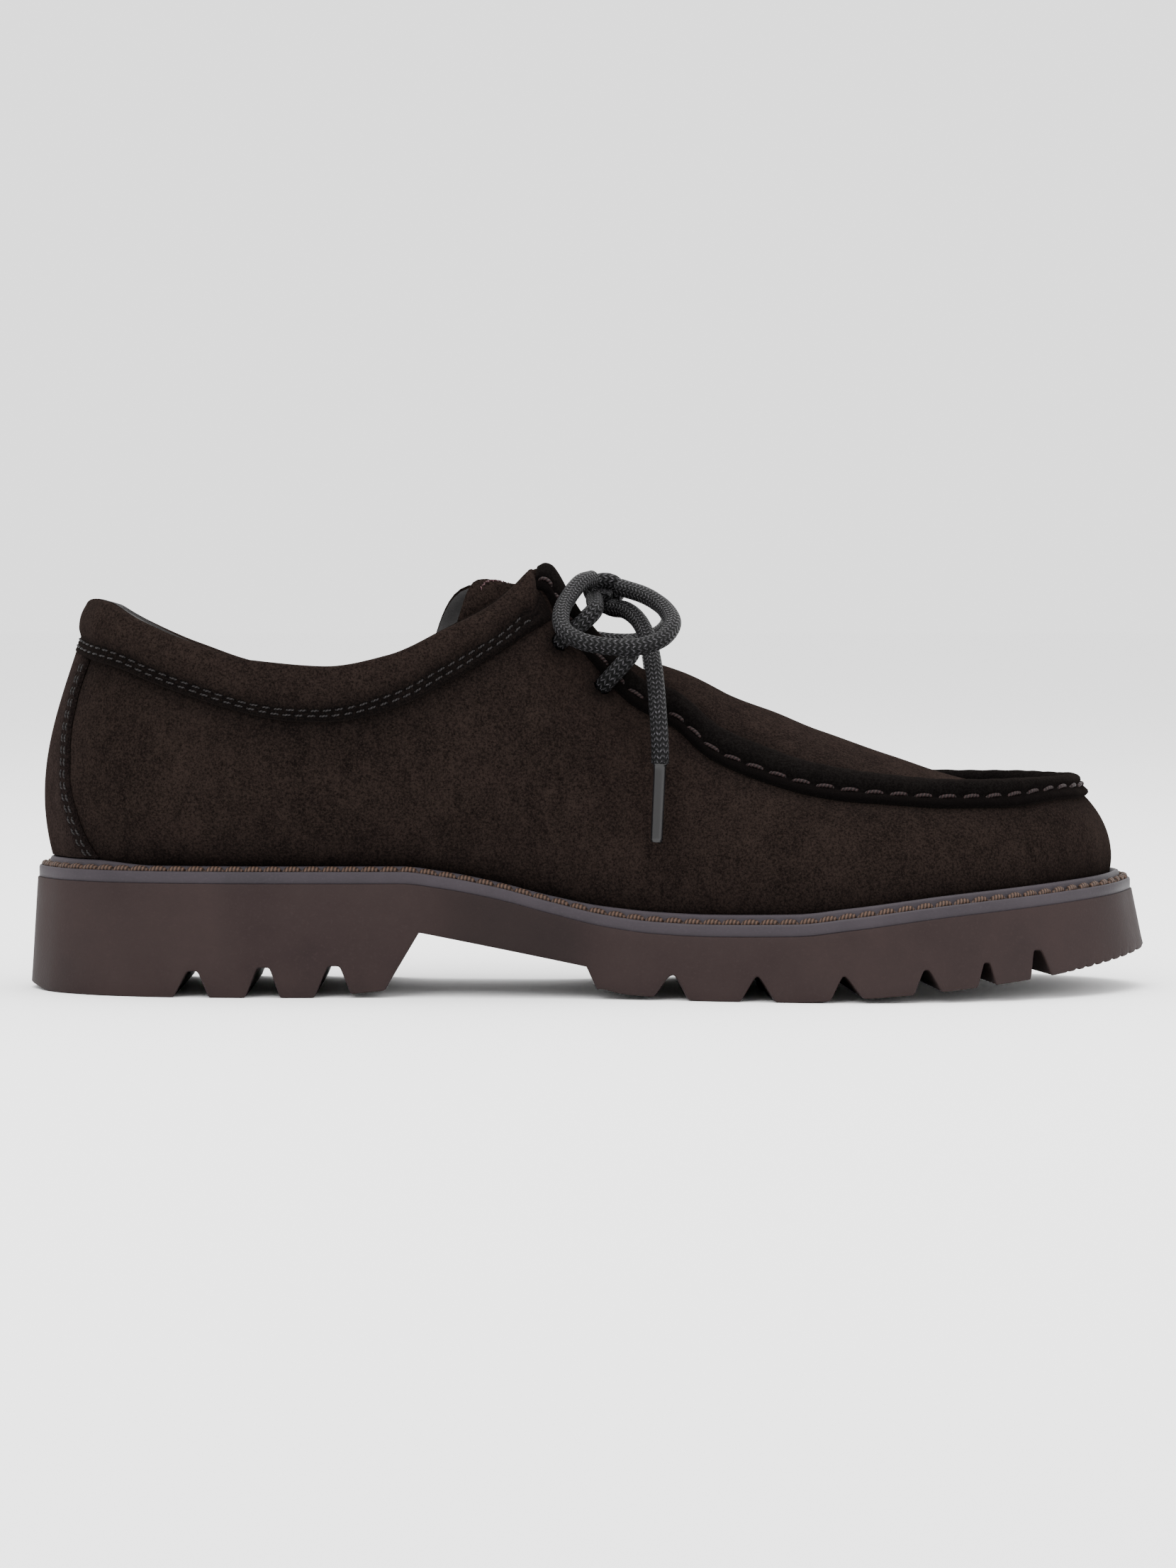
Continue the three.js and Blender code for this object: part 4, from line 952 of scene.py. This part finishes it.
# Across the raised seam: place (millimetres from the crest's edge) and lift as a share of lip and roll.
SEAM_SECTION = table(
    "reach lip roll",
    [
        (-5.15, -0.45, 0), (-5.3, 0.1, 0), (-5.2, 0.7, 0), (-4.7, 1.0, 0), (-4.1, 1.0, 0), (-3.4, 0.85, 0.05),
        (-2.95, 0.65, 0.08), (-2.5, 0.5, 0.12), (-2.05, 0.5, 0.25), (-1.75, 0.4, 0.5), (-1.35, 0.3, 0.74),
        (-0.8, 0.2, 0.9), (-0.1, 0.1, 0.99), (0.7, 0, 1.04), (1.5, 0, 1.02), (2.2, 0, 0.92), (2.9, 0, 0.72),
        (3.45, 0, 0.46), (3.85, 0, 0.15), (4.05, 0, -0.2), (4.0, 0, -0.45),
    ],
)
SEAM_GROOVE = -2.5  # where the stitches lie


def moc_seam():
    """The raised seam: a fat roll above the stitches and a thin raw lip below them."""
    steps = np.linspace(FACING_TOP - 0.6, LAST, 390)
    station = np.concatenate([steps, steps[::-1]])
    side = np.repeat([-1, 1], len(steps))
    throat = 1 - smoothstep(station, APRON_START - 1, APRON_START + 1)
    toe = smoothstep(station, 19.5, 21.5)
    top_line = column(station, side)[3]
    lengths = run(top_line)
    ends = np.minimum(lengths, lengths[-1] - lengths)
    swell = 0.3 + 0.7 * smoothstep(ends, -1, 4)
    crest = 3.8 + (2.2 - 3.8) * throat
    half = np.maximum(half_width(station, side), 1e-3)
    length = reach(station, side)
    plan = unit(np.gradient(top_line[:, :2], axis=0))
    inward = np.column_stack([-plan[:, 1], plan[:, 0], np.zeros(len(plan))])
    pucker = np.cos((lengths - 0.5 - 2.15) / SEAM_PITCH * 2 * np.pi)
    wander = 0.14 * np.sin(lengths / 9.0) + 0.1 * np.sin(lengths / 3.7 + 1.0)
    rows, burnish_and_shade_rows = [], []
    for row in each(SEAM_SECTION):
        start = row["reach"] - FACING_SHIFT * throat
        start = start + wander * (row["reach"] < -3) + 2.2 * toe + 2.5 * hump(ends, 0, 8.0)
        low = np.clip(1 + start / length, 0, 1)
        crossing = across(station, side, np.clip(start / half, 0, 0.96), "crown")
        turned = top_line + inward * np.maximum(start, 0)[:, None]
        crossing[:, :2] += (turned - crossing)[:, :2] * toe[:, None]
        base = np.where((start > 0)[:, None], crossing, wall(station, side, low))
        out, _ = wall_frame(station, side, np.minimum(low, 0.999))
        lean = smoothstep(start, -1.0, 4.0)[:, None] * (1 - throat)[:, None]
        out = unit(out * (1 - 0.72 * lean) + UP * 0.72 * lean)
        lift = 0.45 + 1.3 * row["lip"] * (1 - 0.05 * pucker) + crest * row["roll"] * (1 + 0.018 * pucker)
        rows.append(raised(base + out * (lift * swell)[:, None]))
        # Lightest on the roll's crest, darker on its flanks and the lip: seam colour and painted shade.
        burnish_and_shade_rows.append(np.full(len(station), 0.9 - 0.5 * abs(row["roll"]) + 0.25 * (row["lip"] > 0.55)))
        if row["reach"] == SEAM_GROOVE:
            line, normal = raised(base + out * (lift * swell + 0.15)[:, None]), out
    parts = [grid_part(rows)]
    n = len(rows)
    fan = np.column_stack([np.arange(n), (np.arange(n) + 1) % n, np.full(n, n)])
    for end, faces in ((0, fan), (-1, fan[:, [1, 0, 2]])):
        cap = np.array(rows)[:, end]
        parts.append((np.vstack([cap, cap.mean(axis=0)]), faces, 0))
        burnish_and_shade_rows.append(np.full(n + 1, 0.7))
    piece("moc_roll", parts, [SUEDE_SEAM], {"BurnishAndShade": np.concatenate(burnish_and_shade_rows)}, node=["moc_seam"])
    row = stitches(line, normal, pitch=SEAM_PITCH, length=5.7, radius=0.55, sunk=0.7, slant=0.7)
    sew("moc_stitches", THREAD_SEAM, "suede", row)


def band_border():
    """The collar band's lower edge as stations and shares of the wall, from the back seam forwards."""
    station = np.linspace(0, 10.6, 320)
    share = np.linspace(0.3, 1, 400)
    rows = np.arange(len(station))
    found = {}
    for side in (-1, 1):
        p = wall(station[:, None], side, share)
        above = p[..., 2] - band_low(p[..., 0])
        first = np.clip(np.argmax(above > 0, axis=1), 1, len(share) - 1)
        a, b = above[rows, first - 1], above[rows, first]
        exact = share[first - 1] + (share[1] - share[0]) * np.clip(-a / np.where(b == a, 1, b - a), 0, 1)
        x = wall(station, side, exact)[:, 0]
        stop = np.argmax(x > BAND["along"][-1] * SHOE_LENGTH) or len(station) - 1
        found[side] = (station[: stop + 1], exact[: stop + 1])
    return found


BORDER = band_border()


def band_places(cuts, rows):
    """Stations, sides and shares of the band's grid, from the inner front round the heel to the outer."""
    u = np.linspace(0, 1, cuts)
    r = rows[:, None]
    found = []
    for side in (1, -1):
        low_station, low_share = (np.interp(u, np.linspace(0, 1, len(a)), a) for a in BORDER[side])
        station = low_station * (1 - r) + u * BAND_TOP_FRONT * r
        share = low_share * (1 - r) + r
        places = np.array([station, np.full(station.shape, side), share])
        found.append(places[:, :, :0:-1] if side > 0 else places)
    return np.concatenate(found, axis=2)


def collar_band():
    """The padded band: seam flange with two stitch rows, swelling padding, top roll and the lining inside."""
    rows = np.concatenate([np.linspace(0, 0.4, 26), np.linspace(0.4, 1, 22)[1:]])
    st, sd, sh = band_places(260, rows)
    edge = wall(st, sd, sh)
    total = np.linalg.norm(edge[-1] - edge[0], axis=-1)
    crown = 2.4  # height of the roll on top
    height = np.maximum(total - crown, 1)
    sh = np.clip(sh - (sh - sh[:1]) * (crown / np.maximum(total, 2))[None], 0, 1)
    base = wall(st, sd, sh)
    out, up = wall_frame(st, sd, np.minimum(sh, 0.995))
    d = rows[:, None] * height[None]
    swell = np.clip((d - 4.8) / np.maximum(height - 4.8, 1), 0, 1)
    lift = 0.3 + 1.35 * smoothstep(d, -0.2, 0.7)
    for groove in BAND_ROWS:
        lift = lift - 0.3 * hump(d, groove, 0.55)
    lift = lift - 0.25 * hump(d, 5.2, 0.8) + 1.5 * np.sin(np.pi * swell * 0.8) ** 0.8
    lift[0] = 0.15
    cells = np.arange(lift.shape[1])
    taper = smoothstep(np.minimum(cells, cells[::-1]) * 0.55, -0.5, 5.0)
    lift = 0.15 + (lift - 0.15) * taper[None]
    surface = base + out * lift[..., None]
    # Dark on the stitched flange under the padding: seam colour and painted shade.
    burnish_and_shade = np.maximum(0.85 * fade(d - 4.6, 1.9), 0.95 * (d < 4.6))
    half = (lift[-1] + UPPER_WALL + 0.6 * taper) / 2
    centre = base[-1] + out[-1] * (lift[-1] - half)[:, None]
    rise = crown * (0.15 + 0.85 * taper)
    roll = [
        centre + out[-1] * (half * math.cos(angle))[:, None] + up[-1] * (rise * math.sin(angle))[:, None]
        for angle in np.radians(np.linspace(15, 180, 12))
    ]
    inside = []
    for drop in (2.5, 6, 10, 13):
        lower = np.clip(sh[-1] - drop / reach(st[-1], sd[-1]), 0, 1)
        n, _ = wall_frame(st[-1], sd[-1], lower)
        inside.append(wall(st[-1], sd[-1], lower) - n * (UPPER_WALL + 0.6 - 0.035 * drop))
    grid = raised(np.concatenate([surface, roll, inside]))
    plain = [np.full((len(part), len(total)), value) for part, value in ((roll, 0.15), (inside, 0.3))]
    burnish_and_shade = np.concatenate([burnish_and_shade, *plain])
    points, faces, _ = grid_part(grid)
    is_lining = np.repeat(np.arange(len(grid) - 1) >= len(surface) + 8, grid.shape[1] - 1)
    parts = [(points, faces[~is_lining], 0), (points, faces[is_lining], 1)]
    burnish_and_shade = np.concatenate([burnish_and_shade.ravel(), burnish_and_shade.ravel()])
    band = piece("collar_padding", parts, [SUEDE, LINING], {"BurnishAndShade": burnish_and_shade}, node=["collar_band"])
    threads = []
    for offset in BAND_ROWS:
        f = np.interp(np.clip(offset / height, 0, 1), rows, np.arange(len(rows)))
        i = np.minimum(f, len(rows) - 2).astype(int)
        w = (f - i)[:, None]
        line = surface[i, cells] * (1 - w) + surface[i + 1, cells] * w
        threads.append(stitches(line[6:-10], out[i, cells][6:-10], **ROW_STITCH))
    sew("collar_stitches", THREAD_BAND, "suede", *threads)


def heel_strip():
    """The strip over the back seam, with two rows of stitches along each front edge."""
    share = np.linspace(0.035, 0.9, 90)
    back = wall(0.0, -1, share)
    share = share[back[:, 2] < band_low(back[:, 0]) + 1.0]  # stops under the band
    station = np.linspace(0, 6, 600)
    front_line = {"along": STRIP["height"] * THROAT_HEIGHT, "x": STRIP["along"]}
    fronts = {}
    for side in (-1, 1):
        p = wall(station[:, None], side, share)
        first = np.argmax(p[..., 0] > SHOE_LENGTH * read(front_line, "x", p[..., 2]), axis=0)
        fronts[side] = station[np.clip(first, 1, len(station) - 1)][:, None]
    rim = np.array([0, 0.012, 0.03, 0.06])
    v = np.concatenate([-1 + rim, np.linspace(-0.9, 0.9, 60), 1 - rim[::-1]])
    side = np.where(v <= 0, -1, 1)
    st = np.abs(v)[None] * np.where(side[None] < 0, fronts[-1], fronts[1])
    base = wall(st, side, share[:, None])
    out, _ = wall_frame(st, side, share[:, None])
    gaps = [np.linalg.norm(base - base[:, [end]], axis=-1) for end in (0, -1)]
    edge_gap = np.minimum(*gaps)
    lift = 0.2 + 1.15 * smoothstep(edge_gap, -0.2, 0.6)
    for groove in STRIP_ROWS:
        lift = lift - 0.22 * hump(edge_gap, groove, 0.45)
    surface = base + out * lift[..., None]
    # Darker along the stitched edges, with painted shade towards the strip's foot.
    burnish_and_shade = 0.7 * fade(edge_gap - 3.5, 1.4)
    foot = np.linalg.norm(base - wall(st, side, 0.0), axis=-1)
    burnish_and_shade = 1 - (1 - burnish_and_shade) * (1 - 0.5 * fade(foot, 5))
    parts = [grid_part(surface, flip=True)]
    piece("back_strip", parts, [SUEDE_STRIP], {"BurnishAndShade": burnish_and_shade}, node=["heel_strip"])
    threads = []
    k = np.arange(len(share))
    for gap, turn in zip(gaps, (slice(None), slice(None, None, -1))):
        gap, skin, normal = gap[:, turn], surface[:, turn], out[:, turn]
        for offset in STRIP_ROWS:
            stop = np.argmax(gap > offset, axis=1)
            w = ((offset - gap[k, stop - 1]) / (gap[k, stop] - gap[k, stop - 1]))[:, None]
            line = skin[k, stop - 1] * (1 - w) + skin[k, stop] * w
            threads.append(stitches(line, normal[k, stop], **ROW_STITCH))
    sew("strip_stitches", THREAD_BAND, "suede", *threads)


def evened(grid, passes):
    """A grid of points or directions, averaged with its neighbours."""
    grid = grid.copy()
    for _ in range(passes):
        grid[1:-1] += (grid[2:] + grid[:-2] - 2 * grid[1:-1]) / 4
        grid[:, 1:-1] += (grid[:, 2:] + grid[:, :-2] - 2 * grid[:, 1:-1]) / 4
    return grid


def tongue():
    """The flap under the lace, from the apron's end to its free end, with its lining side."""
    cells = np.linspace(1, -1, 97)
    steps = np.linspace(0, 1, 90)
    rows, cols = len(cells), len(steps)
    away = np.abs(cells)
    side = np.where(cells > 0, 1, -1)
    corner = np.where(side > 0, 0.6 * smoothstep(away, 0, 0.5), 0)
    end = read(TONGUE_ENDS, "station", away, "across") - corner
    st = TONGUE_FRONT + (end - TONGUE_FRONT)[:, None] * steps[None]
    sd = np.broadcast_to(side[:, None], st.shape)
    wing = away >= TONGUE_EDGE
    inner = ~wing
    drop = np.where(wing, (away - TONGUE_EDGE) / (1 - TONGUE_EDGE) * TONGUE_WING, 0)
    sheet = np.empty((rows, cols, 3))
    sheet[wing] = wall(st[wing], sd[wing], (1 - drop)[wing][:, None])
    sheet[inner] = across(st[inner], sd[inner], (1 - away / TONGUE_EDGE)[inner][:, None], "bridge")
    peak = 3.0 * hump(cells, -0.46, 0.09) - 4.4 * hump(cells, -0.14, 0.2)
    sheet[..., 2] += peak[:, None] * smoothstep(steps, 0.75, 1)[None]
    hang = 2.4 * (side > 0) * smoothstep(away, 0, 0.25) * (1 - smoothstep(away, 0.4, TONGUE_EDGE))
    sheet[..., 2] -= hang[:, None] * smoothstep(steps, 0.6, 1)[None]
    # Evened directions, straight up in the middle, keep the two sides from folding.
    normal = unit(np.cross(np.gradient(sheet, axis=1), np.gradient(sheet, axis=0)))
    normal = evened(normal * np.sign(normal[..., 2].mean()), 20)
    level = (1 - smoothstep(away, 0.5, 0.72))[:, None, None]
    normal = unit(normal * (1 - level) + UP * level)
    outer = evened(sheet - normal * (UPPER_WALL + CLEARANCE + TONGUE_SLACK), 3)
    pinch = 0.7 * (1 - smoothstep((1 - steps) * 90, -0.5, 1.4))[None, :, None]
    lower = outer - normal * (TONGUE_WALL - pinch)
    outer = outer - normal * pinch
    ids = np.arange(rows * cols).reshape(rows, cols)
    border = np.concatenate([ids[0], ids[1:, -1], ids[-1, -2::-1], ids[-2:0:-1, 0]])
    after = np.roll(border, -1)
    edge = np.stack([border, after, after + ids.size, border + ids.size], -1)
    both = np.vstack([outer.reshape(-1, 3), lower.reshape(-1, 3)])
    parts = [
        (both, np.vstack([grid_faces(rows, cols), edge]), 0),
        (both, grid_faces(rows, cols, start=ids.size, flip=True), 1),
    ]
    burnish_and_shade = np.full(2 * len(both), 0.05)
    piece("tongue_flap", parts, [SUEDE, LINING], {"BurnishAndShade": burnish_and_shade}, node=["tongue"])
    # A zigzag along the near corner.
    seam = (cells < -0.3) & (cells > -0.52)
    _, line, out = resample(outer[seam, -4], 0.9, normal[seam, -4])
    sway = np.where(np.arange(len(line)) % 2 == 0, 0.55, -0.55)[:, None]
    line = line + sway * np.cross(out, unit(np.gradient(line, axis=0)))
    row = stitches(line, out, pitch=1.35, length=1.25, radius=0.25, sunk=0.15)
    sew("tongue_stitches", THREAD_PINK, "suede", row)


# Lace

KNOT = np.array([0.01475 * SHOE_LENGTH, 0, THROAT_HEIGHT - 7.2])
# Routes in lace diameters from the knot, on the outer side.
LOOP_ROUTE = [
    (-0.745, -1.213, 0.681), (-1.383, -2.553, 0.468), (-2.064, -4.255, -0.34), (-2.489, -5.957, -1.234),
    (-2.34, -7.447, -2.149), (-1.383, -8.511, -2.766), (0.106, -9.043, -3.064), (1.809, -8.936, -3.106),
    (3.191, -8.085, -2.681), (3.851, -6.596, -1.894), (3.511, -4.681, -1.064), (2.447, -2.872, -0.319),
    (0.957, -1.234, 0.191),
]
END_ROUTE = [
    (0.532, -0.979, -1.021), (1.17, -1.809, -1.106), (1.851, -2.979, -1.574), (2.362, -4.468, -2.426),
    (2.66, -5.957, -3.532), (2.851, -7.447, -4.851), (2.979, -8.617, -6.468), (3.085, -9.447, -8.106),
    (3.117, -9.702, -9.021), (3.106, -9.787, -9.66),
]
LEAD_IN = (0.1, -0.35, -0.85)  # from the knot into an end's route
TIP_WAY = (-0.043, -0.038, -1)
LACE_LIFT = 2.2 + 0.15 + 1.8 + LACE_DIAMETER / 2  # lace's middle over the wall, on the facing's roll


def route(points, side):
    mirrored = KNOT + LACE_DIAMETER * np.array(points, float) * np.array([1, -side, 1])
    return curve_through(mirrored, 40 * len(mirrored))


def lace_piece(name, points, node):
    flat, faces, uv = tube(points, LACE_DIAMETER / 2)
    return piece(name, [(flat, faces, 0)], [LACE], uv=uv, node=[node])


def lace_tip(name, node, start, side):
    ahead = unit(np.array(TIP_WAY) * np.array([1, -side, 1]))
    shaft = start + ahead * np.linspace(0.05, TIP_LENGTH, 60)[:, None]
    t = np.linspace(0, 1, 60)
    radius = TIP_DIAMETER / 2 * (1 + 0.28 * np.exp(-t * 40) - 0.12 * smoothstep(t, 0.96, 1))
    flat, faces, uv = tube(shaft, radius)
    return piece(name, [(flat, faces, 0)], [TIP], uv=uv, node=[node])


def out_of_hole(hole, spot, side, way):
    """A strand's way through the upper side of its hole and over the facing; way holds (along, out) steps."""
    centre, out = on_wall(HOLES[hole], side)
    spot, spot_out = on_wall(spot, side)
    over = spot + spot_out * LACE_LIFT
    along = unit(over - centre - out * np.dot(over - centre, out))
    return [*(centre + along * a + out * b for a, b in way), over]


def lace():
    routes = {"loop": (LOOP_ROUTE, "object"), "end": ([LEAD_IN, *END_ROUTE], "fitting")}
    for side, name, node in ((-1, "outer", "lateral"), (1, "inner", "medial")):
        for kind, (points, far_end) in routes.items():
            line = route(points, side)
            obj = lace_piece(f"lace_{kind}_{name}", line, f"lace_{kind}_{node}")
            pieces = []
            if kind == "end":
                pieces = [lace_tip(f"lace_tip_{name}", f"lace_tip_{node}", line[-1], side)]
        way = out_of_hole("upper", STRAND_SPOT, side, [(0.8, -5.0), (0.9, -1.6), (2.4, 1.7)])
        seat = KNOT + np.array([-2.75, side * 6.9, -2.2])
        lace_piece(f"lace_strand_{name}", curve_through([*way, seat], 160), f"lace_strand_{node}")
    outer, inner = (
        out_of_hole("lower", BAR_SPOT, side, [(0.8, -3.0), (0.9, -0.4), (2.4, 2.6)]) for side in (-1, 1)
    )
    crest = (outer[-1] + inner[-1]) / 2 + UP * 3.0
    lace_piece("lace_crossing", curve_through([*outer, crest, *inner[::-1]], 300), "lace_bar")
    # The knot: a wrap that turns once and a half round the loops, closing in at both ends.
    turn = np.linspace(0, 1, 150)
    angle = np.radians(-190 + 560 * turn)
    radius = 2.4 * smoothstep(turn, 0, 0.12) * smoothstep(1 - turn, 0, 0.12)
    coil = [radius * np.sin(angle) * 1.5, -3.4 + 6.8 * turn, radius * np.cos(angle) + 0.2]
    lace_piece("lace_wrap", resample(KNOT + np.column_stack(coil), 0.5)[1], "lace_knot")


outsole()
welt()
upper()
apron()
moc_seam()
collar_band()
heel_strip()
tongue()
lace()
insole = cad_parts["insole"]
insole.data.materials.clear()
insole.data.materials.append(LINING)


# Studio


def area_light(name, place, aim, width, height, power):
    data = bpy.data.lights.new(name, "AREA")
    data.shape = "RECTANGLE"
    data.size, data.size_y, data.energy = width, height, power
    add_object(name, data, place, aim)


def studio():
    mesh = bpy.data.meshes.new("studio_floor")
    size = 6.0
    corners = [(-size, -size, 0), (size, -size, 0), (size, size, 0), (-size, size, 0)]
    mesh.from_pydata(corners, [], [(0, 1, 2, 3)])
    floor = add_object("studio_floor", mesh)
    s = Shader("floor_paper")
    paper = s.noise(6, 3.0)
    tone = s.mix(paper, (0.96, 0.96, 0.96, 1), (0.98, 0.98, 0.98, 1))
    mesh.materials.append(s.finish(tone, 0.85, s.bump(paper, 0.05, 0.001)))
    world = bpy.data.worlds.new("studio")
    world.use_nodes = True
    backdrop = world.node_tree.nodes["Background"]
    backdrop.inputs["Color"].default_value = (1, 1, 1, 1)
    backdrop.inputs["Strength"].default_value = 2.0
    bpy.context.scene.world = world
    area_light("key", (-0.5, -1.2, 1.4), (0, 0, 0.05), 1.2, 1.2, 20)
    area_light("top", (0.1, 0.1, 1.5), (0, 0, 0.05), 1.4, 1.0, 30)
    area_light("toe_fill", (1.3, -0.7, 0.5), (0.08, 0, 0.05), 0.8, 0.8, 6)


def camera():
    """The photo's view: from the outer side, a little from above."""
    data = bpy.data.cameras.new("camera")
    data.lens, data.sensor_width = 125.8, 36
    data.clip_start, data.clip_end = 0.05, 50
    distance, tilt = 1.5, math.radians(2.5)
    aim = Vector((SHIFT[0] * MM, SHIFT[1] * MM, 0.0555))
    place = aim + Vector((0, -math.cos(tilt), math.sin(tilt))) * distance
    bpy.context.scene.camera = add_object("camera", data, place, aim)


studio()
camera()
